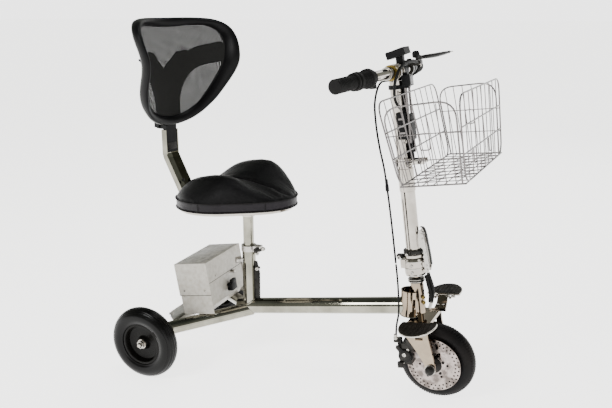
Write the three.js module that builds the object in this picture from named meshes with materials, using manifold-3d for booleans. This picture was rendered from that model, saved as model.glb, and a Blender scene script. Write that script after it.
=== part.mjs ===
// A light three-wheeled mobility scooter: chrome tube frame, battery box, saddle with a mesh back,
// folding stem with handlebar and wire basket, and a braked front hub-motor wheel.
// Millimetres, +X forward, +Y left, +Z up.

import * as THREE from 'three';
import { mergeVertices } from 'three/addons/utils/BufferGeometryUtils.js';
import Module from 'manifold-3d';

const wasm = await Module();
wasm.setup();

// ---------------------------------------------------------------- driving dimensions

const GAP = 0.3;                 // clearance between touching pieces
const ROUND = 28;                // sides of an ordinary round part

const WHEEL_RADIUS = 100;
const TYRE_RADIUS = 25;          // half the tyre's width
const RIM_RADIUS = 60;
const REAR_TRACK = 430;
const WHEELBASE = 761;
const ORIGIN_X = 368.5;          // from the rear axle to the middle of the overall length
const ORIGIN_Y = 1.2;

const CHASSIS_HEIGHT = 121;      // chassis line above the rear axle
const CHASSIS_RISE = THREE.MathUtils.degToRad(9.6);
const MAIN_TUBE_RADIUS = 22.5;
const REAR_TUBE_RADIUS = 19;
const REAR_TUBE_DROP = -7;       // rear tube centre line below the chassis line

const BOX_LENGTH = 104;
const BOX_WIDTH = 194;
const BOX_HEIGHT = 148;
const BOX_REAR = 54;             // chassis distance of the box's rear face
const BOX_FLOOR = 12.6;
const SHEET = 2;                 // steel sheet of the box

const POST_X = 214;
const SOCKET_RADIUS = 19;
const POST_RADIUS = 15;
const SOCKET_TOP = 326;
const POST_TOP = 446;
const POST_BOTTOM = 256;

const SEAT_TURN = THREE.MathUtils.degToRad(-15);   // seat's swivel at rest
const SEAT_BASE = 462;           // underside of the cushion over the post
const SEAT_SLOPE = 0.07;         // the cushion's underside rises forward
const BACK_U = -296;             // backrest behind the post
const BACK_LEAN = 0.03;

const HEAD_X = 713;              // steering axis at the height HEAD_Z
const HEAD_Z = 188;
const HEAD_LEAN = THREE.MathUtils.degToRad(7.7);
const STEER_TURN = THREE.MathUtils.degToRad(-3);   // steering turned slightly right at rest
const WHEEL_F = 35.8;            // front wheel centre from the steering axis and its foot
const WHEEL_W = -93.6;
const DISC_L = -43;
const DISC_RADIUS = 70;
const LEG_L = 61;                // middle of a fork leg
const STEM_RADIUS = 18.5;
const FOLD_F = -29;
const FOLD_W = 184;
const BAR_W = 651;
const BAR_RADIUS = 12.7;
const BAR_HALF = 280;
const BAR_SWEEP = 0.155;

const CABLE_RADIUS = 2.6;
const CABLE_JOINT = 1.6;         // from the fold axis to each half of the brake cable

// ---------------------------------------------------------------- materials

const finish = (color, roughness, metalness) => new THREE.MeshStandardMaterial({ color, roughness, metalness });
const chrome = finish(0xc9c5bb, 0.12, 1);
const blackSteel = finish(0x1b1b1c, 0.45, 0.6);
const greySheet = finish(0xb4aea2, 0.5, 0.3);
const rubber = finish(0x141415, 0.85, 0);
const plastic = finish(0x18181a, 0.4, 0);
const vinyl = finish(0x121213, 0.5, 0);
const netting = finish(0x3a3a38, 0.9, 0);
const steel = finish(0xa7a7a4, 0.35, 0.9);
const amber = finish(0x8a6a1c, 0.35, 0.6);
const padding = finish(0x2b211a, 0.8, 0);

// ---------------------------------------------------------------- solids

const point = (x, y, z) => new THREE.Vector3(x, y, z);

function toSolid(geometry) {
  const bare = geometry.clone();
  bare.deleteAttribute('normal');
  bare.deleteAttribute('uv');
  const merged = mergeVertices(bare, 1e-4);
  const vertProperties = new Float32Array(merged.attributes.position.array);
  const triVerts = new Uint32Array(merged.index.array);
  return new wasm.Manifold(new wasm.Mesh({ numProp: 3, vertProperties, triVerts }));
}

function toGeometry(solid) {
  const mesh = solid.getMesh();
  const geometry = new THREE.BufferGeometry();
  geometry.setAttribute('position', new THREE.BufferAttribute(mesh.vertProperties, 3));
  geometry.setIndex(new THREE.BufferAttribute(mesh.triVerts, 1));
  geometry.computeVertexNormals();
  return geometry;
}

function join(...geometries) {
  return toGeometry(geometries.map(toSolid).reduce((sum, solid) => sum.add(solid)));
}

function cut(base, ...tools) {
  return toGeometry(tools.map(toSolid).reduce((rest, tool) => rest.subtract(tool), toSolid(base)));
}

function block(sizeX, sizeY, sizeZ, centre = point(0, 0, 0)) {
  return new THREE.BoxGeometry(sizeX, sizeY, sizeZ).translate(centre.x, centre.y, centre.z);
}

// A rod of one radius between two points.
function rod(start, end, radius, sides = ROUND) {
  const direction = end.clone().sub(start);
  const geometry = new THREE.CylinderGeometry(radius, radius, direction.length(), sides);
  const turn = new THREE.Quaternion().setFromUnitVectors(point(0, 1, 0), direction.clone().normalize());
  geometry.applyQuaternion(turn);
  const middle = start.clone().add(end).multiplyScalar(0.5);
  return geometry.translate(middle.x, middle.y, middle.z);
}

function tube(start, end, outer, inner, sides = ROUND) {
  const overrun = end.clone().sub(start).setLength(1);
  return cut(rod(start, end, outer, sides), rod(start.clone().sub(overrun), end.clone().add(overrun), inner, sides));
}

// A turned piece: [radius, height] pairs around +Z.
function turned(profile, sides = ROUND) {
  const points = profile.map(([radius, height]) => new THREE.Vector2(radius, height));
  return new THREE.LatheGeometry(points, sides).rotateX(Math.PI / 2);
}

// The same, around +Y.
function turnedAcross(profile, sides = ROUND) {
  return turned(profile, sides).rotateX(-Math.PI / 2);
}

function sweep(points, radius, sides, steps) {
  const section = new THREE.Shape(Array.from({ length: sides }, (_, i) => {
    const angle = (2 * Math.PI * i) / sides;
    return new THREE.Vector2(radius * Math.cos(angle), radius * Math.sin(angle));
  }));
  const extrudePath = new THREE.CatmullRomCurve3(points, false, 'centripetal');
  return new THREE.ExtrudeGeometry(section, { steps, extrudePath, bevelEnabled: false });
}

// A flat shape in the (forward, up) plane, given a width across and centred at one side distance.
function plateAcross(outline, width, across = 0) {
  const shape = new THREE.Shape(outline.map(([forward, up]) => new THREE.Vector2(forward, up)));
  const geometry = new THREE.ExtrudeGeometry(shape, { depth: width, bevelEnabled: false, curveSegments: 10 });
  return geometry.rotateX(Math.PI / 2).translate(0, across + width / 2, 0);
}

// Joins rings of points into one skin. Rings follow each other; a closed chain needs no end caps.
function loft(rings, closedChain = false) {
  const sides = rings[0].length;
  const positions = rings.flat().flatMap((p) => [p.x, p.y, p.z]);
  const indices = [];
  const spans = closedChain ? rings.length : rings.length - 1;
  for (let ring = 0; ring < spans; ring += 1) {
    const next = (ring + 1) % rings.length;
    for (let side = 0; side < sides; side += 1) {
      const a = ring * sides + side;
      const b = ring * sides + ((side + 1) % sides);
      const c = next * sides + ((side + 1) % sides);
      const d = next * sides + side;
      indices.push(a, b, c, a, c, d);
    }
  }
  if (!closedChain) {
    for (let side = 1; side < sides - 1; side += 1) {
      const last = (rings.length - 1) * sides;
      indices.push(0, side + 1, side, last, last + side, last + side + 1);
    }
  }
  const geometry = new THREE.BufferGeometry();
  geometry.setAttribute('position', new THREE.Float32BufferAttribute(positions, 3));
  geometry.setIndex(indices);
  return outward(geometry);
}

// Turns every face of a closed skin outward.
function outward(geometry) {
  const { array } = geometry.attributes.position;
  const index = geometry.index.array;
  let volume = 0;
  for (let i = 0; i < index.length; i += 3) {
    const [a, b, c] = [0, 1, 2].map((k) => point(...array.slice(3 * index[i + k], 3 * index[i + k] + 3)));
    volume += a.dot(b.cross(c));
  }
  if (volume < 0) {
    for (let i = 0; i < index.length; i += 3) {
      [index[i], index[i + 1]] = [index[i + 1], index[i]];
    }
  }
  geometry.computeVertexNormals();
  return geometry;
}

// ---------------------------------------------------------------- assembly groups

const scooter = new THREE.Group();
scooter.position.set(-ORIGIN_X, -ORIGIN_Y, 0);

const chassis = new THREE.Group();
chassis.position.set(0, 0, CHASSIS_HEIGHT);
chassis.rotation.y = -CHASSIS_RISE;

const post = new THREE.Group();
post.position.set(POST_X, 0, 0);

const seat = new THREE.Group();
seat.position.set(POST_X, 0, 0);
seat.rotation.z = SEAT_TURN;

// The head group stands on the steering axis. Its X, Y and Z are forward, left and along the axis.
const head = new THREE.Group();
head.position.set(HEAD_X, 0, HEAD_Z);
head.rotation.y = -HEAD_LEAN;

const steering = new THREE.Group();
steering.rotation.z = STEER_TURN;
head.add(steering);

scooter.add(chassis, post, seat, head);

function add(group, name, geometry, material) {
  const mesh = new THREE.Mesh(geometry, material);
  mesh.name = name;
  group.add(mesh);
}

const sides = [['right', -1], ['left', 1]];

// ---------------------------------------------------------------- frame

const SOCKET_X = 683;
const FRONT_SOCKET_RADIUS = 25.5;
const HEAD_TUBE_RADIUS = 17;
const POST_ON_CHASSIS = POST_X / Math.cos(CHASSIS_RISE);
const MAIN_REAR = point(POST_ON_CHASSIS - 34, 0, 1);
const MAIN_FRONT = point(SOCKET_X / Math.cos(CHASSIS_RISE), 0, 1);
const REAR_TUBE_START_X = POST_ON_CHASSIS + 6;
const REAR_TUBE_END_X = 8;
const REAR_TUBE_END_Y = 173;

function headTubeTool(radius) {
  return inChassis(rod(point(0, 0, -60), point(0, 0, 160), radius), head);
}

function postTool(radius) {
  return inChassis(rod(point(0, 0, 60), point(0, 0, 400), radius), post);
}

// Moves a piece from another group's axes into the chassis group's axes.
function inChassis(geometry, group) {
  scooter.updateMatrixWorld(true);
  const toChassis = chassis.matrixWorld.clone().invert().multiply(group.matrixWorld);
  return geometry.applyMatrix4(toChassis);
}

function frontSocketTool(radius) {
  return rod(point(SOCKET_X, 0, 120), point(SOCKET_X, 0, 400), radius);
}

function mainTube() {
  const solid = rod(MAIN_REAR, MAIN_FRONT, MAIN_TUBE_RADIUS);
  const socket = inChassis(frontSocketTool(FRONT_SOCKET_RADIUS + GAP), scooter);
  return cut(solid, headTubeTool(HEAD_TUBE_RADIUS + GAP), socket);
}

function rearTube(side) {
  const start = point(REAR_TUBE_START_X, side * 2, REAR_TUBE_DROP);
  const end = point(REAR_TUBE_END_X - 12, side * (REAR_TUBE_END_Y + 12), REAR_TUBE_DROP);
  const solid = rod(start, end, REAR_TUBE_RADIUS);
  const middle = block(900, 400, 200, point(300, -side * (200 - GAP / 2), 0));
  const outside = block(200, 100, 200, point(0, side * (REAR_TUBE_END_Y + 50), 0));
  const main = rod(MAIN_REAR.clone().setX(MAIN_REAR.x - GAP), MAIN_FRONT, MAIN_TUBE_RADIUS + GAP);
  return cut(solid, middle, outside, main);
}

// A welded end plate with the stub axle that carries one rear wheel.
function rearAxle(side) {
  const inner = REAR_TUBE_END_Y + GAP;
  const plateThickness = 8;
  const axle = point(0, 0, WHEEL_RADIUS);
  const across = (distance) => point(0, side * distance, WHEEL_RADIUS);
  const boss = rod(across(inner), across(inner + plateThickness), 22);
  const upper = rod(across(inner), across(inner + plateThickness), 20).translate(2, 0, 18);
  const stub = rod(across(inner + 1), across(REAR_TRACK / 2 + 24), 6, 20);
  const spacer = rod(across(inner + 1), across(REAR_TRACK / 2 - 14.4), 10);
  const nut = rod(across(REAR_TRACK / 2 + 14.4), across(REAR_TRACK / 2 + 23), 11, 6);
  return join(boss, upper, spacer, stub, nut).translate(axle.x, 0, 0);
}

function tailPlate() {
  const outline = new THREE.Shape();
  outline.moveTo(-96, -20);
  outline.lineTo(96, -20);
  outline.lineTo(112, 12);
  outline.lineTo(104, 24);
  outline.lineTo(-104, 24);
  outline.lineTo(-112, 12);
  const plate = new THREE.ExtrudeGeometry(outline, { depth: 3, bevelEnabled: false });
  plate.rotateX(Math.PI / 2).rotateZ(Math.PI / 2).translate(18, 0, 0);
  const bar = rod(point(30, -170, -14), point(30, 170, -14), 9);
  const bolt = rod(point(12, -104, 17), point(24, -104, 17), 4, 12);
  const tubes = sides.map(([, side]) => rod(
    point(REAR_TUBE_START_X, side * 2, REAR_TUBE_DROP),
    point(REAR_TUBE_END_X - 12, side * (REAR_TUBE_END_Y + 12), REAR_TUBE_DROP),
    REAR_TUBE_RADIUS + GAP,
  ));
  const trim = [-1, 1].map((side) => block(80, 80, 60, point(30, side * (40 + 128), -14)));
  const web = block(14, 160, 6, point(25, 0, -14));
  return cut(join(plate, bar, bolt, web), ...tubes, ...trim);
}

add(chassis, 'main_tube', mainTube(), chrome);
for (const [name, side] of sides) {
  add(chassis, `rear_tube_${name}`, rearTube(side), chrome);
  add(scooter, `rear_axle_${name}`, rearAxle(side), steel);
}
add(chassis, 'tail_plate', tailPlate(), greySheet);

// ---------------------------------------------------------------- seat socket, clamp and lever

function seatSocket() {
  const shell = tube(point(0, 0, 120), point(0, 0, SOCKET_TOP), SOCKET_RADIUS, POST_RADIUS + GAP);
  const holes = [200, 226, 252, 278].map((height) => rod(point(0, 0, height), point(-30, 12, height), 3.5, 12));
  const pinHole = rod(point(0, 0, 302), point(-20, -20, 302), 5.3, 16);
  const mainTubeTool = rod(MAIN_REAR, MAIN_FRONT, MAIN_TUBE_RADIUS + GAP);
  const belowTube = block(90, 90, 90, point(POST_ON_CHASSIS, 0, -44));
  return cut(inChassis(cut(shell, ...holes, pinHole), post), mainTubeTool, belowTube);
}

// Front web plate between the socket and the main tube.
function postGusset() {
  const top = 296;
  const plate = plateAcross([[SOCKET_RADIUS - 2, top], [25, top], [33, 262], [32, 190], [40, 150], [0, 150], [0, top]], 5);
  const bolt = rod(point(28, -6, 276), point(28, 6, 276), 4, 12);
  const piece = inChassis(join(plate, bolt), post);
  return cut(piece, postTool(SOCKET_RADIUS + GAP), rod(MAIN_REAR, MAIN_FRONT, MAIN_TUBE_RADIUS + GAP));
}

const CLAMP_BOTTOM = SOCKET_TOP + GAP;
const CLAMP_HEIGHT = 16;
const LEVER_PIVOT = point(31, -14, CLAMP_BOTTOM + CLAMP_HEIGHT / 2);

function postClamp() {
  const ring = rod(point(0, 0, CLAMP_BOTTOM), point(0, 0, CLAMP_BOTTOM + CLAMP_HEIGHT), 21);
  const ears = block(24, 22, CLAMP_HEIGHT, point(26, 0, CLAMP_BOTTOM + CLAMP_HEIGHT / 2));
  const bore = rod(point(0, 0, 300), point(0, 0, 360), POST_RADIUS + GAP);
  const slot = block(40, 3, 40, point(32, 0, CLAMP_BOTTOM));
  return cut(join(ring, ears), bore, slot);
}

function postLever() {
  const cam = rod(LEVER_PIVOT.clone().setY(-20), LEVER_PIVOT.clone().setY(-11.4), 7, 16);
  const handle = sweep([point(31, -17, 334), point(40, -20, 336), point(48, -21, 339), point(53, -19, 341)], 4.2, 8, 8);
  return join(cam, handle);
}

// Pull-out pin that locks the post in one of its height holes.
function indexPin() {
  const away = point(-1, -1, 0).normalize();
  const along = (distance) => away.clone().multiplyScalar(distance).setZ(302);
  const knob = rod(along(SOCKET_RADIUS + 5), along(SOCKET_RADIUS + 20), 9, 16);
  const pin = rod(along(POST_RADIUS + 1.2), along(SOCKET_RADIUS + 6), 4.5, 12);
  return join(knob, pin);
}

function postTube() {
  return tube(point(0, 0, POST_BOTTOM), point(0, 0, POST_TOP), POST_RADIUS, POST_RADIUS - 2);
}

add(chassis, 'seat_socket', seatSocket(), chrome);
add(chassis, 'post_gusset', postGusset(), blackSteel);
add(post, 'post_clamp', postClamp(), steel);
add(post, 'post_lever', postLever(), steel);
add(post, 'index_pin', indexPin(), steel);
add(post, 'post_tube', postTube(), chrome);

// ---------------------------------------------------------------- battery box

const LID_SIDE = 92;             // how far the lid's long flaps come down
const LID_END = 58;
const FOOT = 26;                 // size of the bevel at the case's lower front edge
const boxCentre = (height) => point(BOX_REAR + BOX_LENGTH / 2, 0, height);

// Prism that takes off the box's lower front edge, pushed in by the sheet's thickness for the inside.
function footTool(thickness) {
  const front = BOX_REAR + BOX_LENGTH;
  const depth = FOOT + 1.4 * thickness;
  const width = BOX_WIDTH - 4 * SHEET;
  return plateAcross([
    [front + 1, BOX_FLOOR - 1], [front + 1, BOX_FLOOR + depth], [front - depth, BOX_FLOOR - 1],
  ], width);
}

function batteryCase() {
  const inset = SHEET + GAP;
  const roof = BOX_FLOOR + BOX_HEIGHT - inset;
  const middle = boxCentre((BOX_FLOOR + roof) / 2);
  const outer = block(BOX_LENGTH - 2 * inset, BOX_WIDTH - 2 * inset, roof - BOX_FLOOR, middle);
  const inner = block(
    BOX_LENGTH - 2 * inset - 2 * SHEET,
    BOX_WIDTH - 2 * inset - 2 * SHEET,
    roof - BOX_FLOOR,
    boxCentre((BOX_FLOOR + roof) / 2 + SHEET),
  );
  const tubes = sides.map(([, side]) => rod(
    point(REAR_TUBE_START_X, side * 2, REAR_TUBE_DROP),
    point(REAR_TUBE_END_X, side * REAR_TUBE_END_Y, REAR_TUBE_DROP),
    REAR_TUBE_RADIUS + GAP,
  ));
  return cut(outer, cut(inner, footTool(SHEET)), footTool(0), ...tubes);
}

function batteryLid() {
  const roof = BOX_FLOOR + BOX_HEIGHT;
  const outer = block(BOX_LENGTH, BOX_WIDTH, LID_SIDE, boxCentre(roof - LID_SIDE / 2));
  const inner = block(BOX_LENGTH - 2 * SHEET, BOX_WIDTH - 2 * SHEET, LID_SIDE, boxCentre(roof - LID_SIDE / 2 - SHEET));
  const shortEnds = block(BOX_LENGTH + 20, BOX_WIDTH - 6, 2 * (LID_SIDE - LID_END), boxCentre(roof - LID_SIDE));
  return cut(outer, inner, shortEnds);
}

function batteryPack() {
  return block(78, 176, 104, boxCentre(BOX_FLOOR + 70));
}

add(chassis, 'battery_case', batteryCase(), greySheet);
add(chassis, 'battery_lid', batteryLid(), greySheet);
add(chassis, 'battery_pack', batteryPack(), plastic);

// ---------------------------------------------------------------- wheels

// Tyre section around the Y axis.
function tyre() {
  const steps = 14;
  const centre = WHEEL_RADIUS - TYRE_RADIUS;
  const profile = [[RIM_RADIUS, -17]];
  for (let i = 0; i <= steps; i += 1) {
    const angle = THREE.MathUtils.degToRad(-125 + (250 * i) / steps);
    profile.push([centre + TYRE_RADIUS * Math.cos(angle), TYRE_RADIUS * Math.sin(angle)]);
  }
  profile.push([RIM_RADIUS, 17], [RIM_RADIUS, -17]);
  return turnedAcross(profile, 38);
}

function rearRim() {
  const rim = RIM_RADIUS - GAP;
  return turnedAcross([
    [6.5, -14], [15, -14], [17, -9], [44, -5], [50, -16], [rim, -16],
    [rim, 16], [50, 16], [44, 5], [17, 9], [15, 14], [6.5, 14], [6.5, -14],
  ], 36);
}

for (const [name, side] of sides) {
  const wheel = new THREE.Group();
  wheel.position.set(0, side * REAR_TRACK / 2, WHEEL_RADIUS);
  scooter.add(wheel);
  add(wheel, `rear_tyre_${name}`, tyre(), rubber);
  add(wheel, `rear_rim_${name}`, rearRim(), plastic);
}

function hubMotor() {
  const rim = RIM_RADIUS - GAP;
  return turnedAcross([
    [7, -40], [21, -40], [21, -31], [23, -24], [48, -20], [rim, -17], [rim, 17], [48, 20], [23, 24], [21, 30], [7, 30], [7, -40],
  ], 36);
}

function brakeDisc() {
  const plate = turnedAcross([
    [21.4, -0.9], [DISC_RADIUS, -0.9], [DISC_RADIUS, 0.9], [21.4, 0.9], [21.4, -0.9],
  ], 48);
  const holes = Array.from({ length: 12 }, (_, i) => {
    const angle = (2 * Math.PI * i) / 12;
    const [x, z] = [46 * Math.cos(angle), 46 * Math.sin(angle)];
    return rod(point(x, -3, z), point(x, 3, z), 6, 8);
  });
  return cut(plate, ...holes).translate(0, DISC_L + 9, 0);
}

const frontWheel = new THREE.Group();
frontWheel.position.set(WHEEL_F, 0, WHEEL_W);
steering.add(frontWheel);
add(frontWheel, 'front_tyre', tyre(), rubber);
add(frontWheel, 'hub_motor', hubMotor(), blackSteel);
add(frontWheel, 'brake_disc', brakeDisc(), steel);

// ---------------------------------------------------------------- head tube and fork

const HEAD_BOTTOM = 36;
const HEAD_TOP = 118;

function frontSocket() {
  const ring = tube(point(SOCKET_X, 0, 212), point(SOCKET_X, 0, 281), FRONT_SOCKET_RADIUS, FRONT_SOCKET_RADIUS - 3.5);
  scooter.updateMatrixWorld(true);
  const toScooter = scooter.matrixWorld.clone().invert().multiply(head.matrixWorld);
  const headTool = rod(point(0, 0, -60), point(0, 0, 160), HEAD_TUBE_RADIUS + GAP).applyMatrix4(toScooter);
  const slot = block(30, 7, 24, point(22, 0, 0)).rotateZ(-0.93).translate(SOCKET_X, 0, 251);
  return cut(ring, headTool, slot);
}

function forkCrown() {
  const plate = block(60, 2 * (LEG_L + 3), 9, point(8, 0, 18));
  const steerer = rod(point(0, 0, 14), point(0, 0, 138), 11);
  const brackets = sides.map(([, side]) => loft([
    ring4(18, 50, side * 63, 14, 22),
    ring4(20, 48, side * 84, 22, 29),
    ring4(20, 48, side * 98, 37, 43),
    ring4(20, 48, side * 101, 41, 46),
  ]));
  return join(plate, steerer, ...brackets);
}

// A four-cornered ring at one side distance, from the rear to the front and from low to high.
function ring4(rear, front, across, low, high) {
  return [point(rear, across, low), point(front, across, low), point(front, across, high), point(rear, across, high)];
}

function forkLeg(side) {
  const outline = [
    [-21, 13], [-20, -8], [6, -50], [21, -80], [23, -100], [30, -107],
    [42, -107], [49, -100], [49, -84], [44, -52], [38, -8], [38, 13],
  ];
  const leg = plateAcross(outline, 6, side * LEG_L);
  const bore = rod(point(WHEEL_F, -90, WHEEL_W), point(WHEEL_F, 90, WHEEL_W), 6.4, 20);
  const slot = block(20, 20, 7, point(14, side * LEG_L, -12));
  return cut(leg, bore, slot);
}

function frontAxle() {
  const across = (distance) => point(WHEEL_F, distance, WHEEL_W);
  const shaft = rod(across(-72), across(72), 6, 20);
  const nuts = sides.map(([, side]) => rod(across(side * (LEG_L + 3.4)), across(side * (LEG_L + 13)), 10, 6));
  return join(shaft, ...nuts);
}

const CALIPER_F = -31;
const CALIPER_W = -66;
const ARM_PIVOT = point(CALIPER_F, -55, CALIPER_W + 6);

function caliperBody() {
  const body = block(30, 17, 48, point(CALIPER_F, -44, CALIPER_W));
  const disc = rod(point(WHEEL_F, -35.4, WHEEL_W), point(WHEEL_F, -32.6, WHEEL_W), DISC_RADIUS + 1.5, 48);
  const tab = block(30, 5, 24, point(CALIPER_F + 22, -55.3, -32));
  const riser = block(10, 12, 30, point(-44, -46, -34));
  const cableStop = block(12, 22, 6, point(-48, -54, -22));
  const bridge = block(26, 12, 14, point(CALIPER_F + 6, -50, -38));
  const inner = block(26, 6, 40, point(CALIPER_F - 4, -30, CALIPER_W));
  const back = block(8, 22, 40, point(CALIPER_F - 14, -38, CALIPER_W));
  return cut(join(body, bridge, tab, riser, cableStop, inner, back), disc);
}

function caliperArm() {
  const boss = rod(ARM_PIVOT.clone().setY(-52.9), ARM_PIVOT.clone().setY(-60), 9, 18);
  const arm = plateAcross([[-6, -5], [4, 4], [-13, 23], [-20, 24], [-22, 17]], 3.5, 0);
  arm.translate(ARM_PIVOT.x, -58.2, ARM_PIVOT.z);
  return join(boss, arm);
}

add(scooter, 'front_socket', frontSocket(), chrome);
add(head, 'head_tube', tube(point(0, 0, HEAD_BOTTOM), point(0, 0, HEAD_TOP), HEAD_TUBE_RADIUS, 12.5), chrome);
add(head, 'headset_ring', turned([
  [11.5, HEAD_TOP + GAP], [18.5, HEAD_TOP + GAP], [18.5, HEAD_TOP + 12], [11.5, HEAD_TOP + 12], [11.5, HEAD_TOP + GAP],
]), blackSteel);
add(steering, 'fork_crown', forkCrown(), chrome);
for (const [name, side] of sides) {
  add(steering, `fork_leg_${name}`, forkLeg(side), chrome);
}
add(steering, 'front_axle', frontAxle(), blackSteel);
add(steering, 'caliper_body', caliperBody(), blackSteel);
add(steering, 'caliper_arm', caliperArm(), steel);

// ---------------------------------------------------------------- footrests

// D-shaped plate, its straight side hinged on the fork's bracket.
function footrest(side) {
  const shape = new THREE.Shape();
  const hinge = 103.4;
  shape.moveTo(-10, hinge);
  shape.lineTo(78, hinge);
  shape.bezierCurveTo(82, hinge + 50, 60, hinge + 78, 34, hinge + 79);
  shape.bezierCurveTo(8, hinge + 78, -14, hinge + 50, -10, hinge);
  const plate = new THREE.ExtrudeGeometry(shape, { depth: 5, bevelEnabled: false, curveSegments: 8 });
  plate.translate(0, 0, 44.5);
  return side > 0 ? plate : mirrored(plate);
}

// The mirror image across the middle plane, with its faces still outward.
function mirrored(geometry) {
  const indexed = mergeVertices(stripped(geometry));
  indexed.scale(1, -1, 1);
  return outward(indexed);
}

function stripped(geometry) {
  const bare = geometry.clone();
  bare.deleteAttribute('normal');
  bare.deleteAttribute('uv');
  return bare;
}

for (const [name, side] of sides) {
  add(steering, `footrest_${name}`, footrest(side), padding);
}

// ---------------------------------------------------------------- stem, fold and latch

function stemBase() {
  const lower = turned([[0, 138 + GAP], [24, 138 + GAP], [27, 144], [27, 176], [24, 183], [0, 183]], ROUND);
  const hinge = block(18, 40, 22, point(-22, 0, 171));
  return join(lower, hinge);
}

function stemTube() {
  const collar = turned([[0, 185], [25, 185], [27, 188], [27, 194], [24, 196], [24, 206], [0, 206]], ROUND);
  const tubeUp = rod(point(0, 0, 186), point(0, 0, BAR_W - BAR_RADIUS - GAP - 8), STEM_RADIUS);
  return join(collar, tubeUp);
}

const LATCH_F = 34;
const LATCH_W = 152;

function stemLatch() {
  const bar = plateAcross([[32, 147], [38, 147], [42, 160], [40, 190], [37, 225], [33, 258], [24, 262],
    [20.5, 250], [21, 216], [29.5, 208], [30, 186], [28.4, 160]], 22);
  const pin = rod(point(LATCH_F, -17, LATCH_W), point(LATCH_F, 17, LATCH_W), 4, 14);
  return join(bar, pin);
}

add(steering, 'stem_base', stemBase(), chrome);
add(steering, 'stem_tube', stemTube(), chrome);
add(steering, 'stem_latch', stemLatch(), steel);

// ---------------------------------------------------------------- handlebar and controls

// A point on the handlebar's centre line at one side distance.
function onBar(across) {
  const reach = Math.max(0, Math.abs(across) - 42);
  return point(-BAR_SWEEP * reach, across, BAR_W - 0.02 * reach);
}

function barPiece(from, to, outer, inner = 0, sideCount = ROUND) {
  const start = onBar(from);
  const end = onBar(to);
  return inner > 0 ? tube(start, end, outer, inner, sideCount) : rod(start, end, outer, sideCount);
}

function handlebar() {
  const middle = rod(onBar(-43), onBar(43), BAR_RADIUS);
  const halves = sides.map(([, side]) => barPiece(side * 42, side * (BAR_HALF - 3), BAR_RADIUS));
  const stub = rod(point(0, 0, BAR_W - BAR_RADIUS - 8), point(0, 0, BAR_W), STEM_RADIUS - 3.5);
  return join(middle, ...halves, stub);
}

function grip(side) {
  const sleeve = barPiece(side * 203, side * (BAR_HALF - 4), 16.5, BAR_RADIUS + GAP);
  const flange = barPiece(side * 201, side * 208, 20, BAR_RADIUS + GAP);
  return join(sleeve, flange);
}

function throttle() {
  const body = barPiece(-140, -194, 20.5, BAR_RADIUS + GAP);
  const innerCollar = barPiece(-138, -154, 23, BAR_RADIUS + GAP);
  const outerCollar = barPiece(-186, -199, 21, BAR_RADIUS + GAP);
  return join(body, innerCollar, outerCollar);
}

function barClamp() {
  return join(
    barPiece(-41, -16, 16.5, BAR_RADIUS + GAP),
    barPiece(-41, -35, 19, BAR_RADIUS + GAP),
  );
}

const DISPLAY_TILT = THREE.MathUtils.degToRad(-13);

function display() {
  const body = block(48, 42, 17).rotateY(DISPLAY_TILT).translate(8, 4, 694);
  const foot = block(18, 14, 28, point(6, 22, 678));
  const strap = rod(point(0, 16, BAR_W), point(0, 32, BAR_W), 19);
  const bar = rod(point(0, 0, BAR_W), point(0, 60, BAR_W), BAR_RADIUS + GAP);
  return cut(join(body, foot, strap), bar);
}

function headlight() {
  const body = block(20, 28, 27, point(31, -12, 629));
  const arm = block(12, 12, 8, point(28, -12, 644));
  const collar = rod(point(0, 0, 610), point(0, 0, 620), 22);
  const neck = block(24, 14, 9, point(22, -8, 615));
  const stem = rod(point(0, 0, 590), point(0, 0, 660), STEM_RADIUS + GAP);
  return cut(join(body, arm, collar, neck), stem);
}

function leverBracket() {
  const strap = barPiece(116, 134, 17.5, BAR_RADIUS + GAP);
  const horn = block(34, 16, 12, point(10, 122, 662));
  const barTool = barPiece(100, 150, BAR_RADIUS + GAP);
  return cut(join(strap, horn), barTool);
}

const LEVER_F = 20;
const LEVER_L = 122;

function brakeLever() {
  const boss = rod(point(LEVER_F, LEVER_L, 668.4), point(LEVER_F, LEVER_L, 679.5), 8, 16);
  const blade = sweep([
    point(LEVER_F + 1, LEVER_L, 674), point(34, 140, 674), point(46, 178, 674), point(56, 222, 675), point(63, 256, 676),
  ], 5, 8, 14);
  const ball = new THREE.SphereGeometry(7, 12, 8).translate(63, 258, 676);
  return join(boss, blade, ball);
}

function aboveBar(across, height) {
  return onBar(across).add(point(0, 0, BAR_RADIUS + height));
}

function hornButton() {
  return rod(aboveBar(160, 6), aboveBar(160, 12), 6, 14);
}

function switchPod() {
  const body = barPiece(146, 175, 17.5, BAR_RADIUS + GAP);
  const top = block(22, 24, 10, aboveBar(160, 4));
  const well = rod(aboveBar(160, 3.4), aboveBar(160, 20), 6.3, 14);
  return cut(join(body, top), barPiece(130, 190, BAR_RADIUS + GAP), well);
}

add(steering, 'handlebar', handlebar(), chrome);
add(steering, 'bar_clamp', barClamp(), amber);
add(steering, 'display', display(), plastic);
add(steering, 'headlight', headlight(), plastic);
add(steering, 'lever_bracket', leverBracket(), blackSteel);
add(steering, 'brake_lever', brakeLever(), blackSteel);
add(steering, 'switch_pod', switchPod(), plastic);
add(steering, 'horn_button', hornButton(), plastic);
add(steering, 'throttle', throttle(), rubber);
for (const [name, side] of sides) {
  add(steering, `grip_${name}`, grip(side), rubber);
}

// ---------------------------------------------------------------- basket

const BASKET_TOP = 600;
const BASKET_BOTTOM = 408;

// Rounded oblong between a rear and a front distance, at one height.
function basketRing(rear, front, half, height, corner) {
  const ring = [];
  const centres = [[front - corner, half - corner, 0], [rear + corner, half - corner, 90],
    [rear + corner, -half + corner, 180], [front - corner, -half + corner, 270]];
  for (const [x, y, start] of centres) {
    for (let step = 0; step <= 3; step += 1) {
      const angle = THREE.MathUtils.degToRad(start + 30 * step);
      ring.push(point(x + corner * Math.cos(angle), y + corner * Math.sin(angle), height));
    }
  }
  return ring;
}

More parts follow.
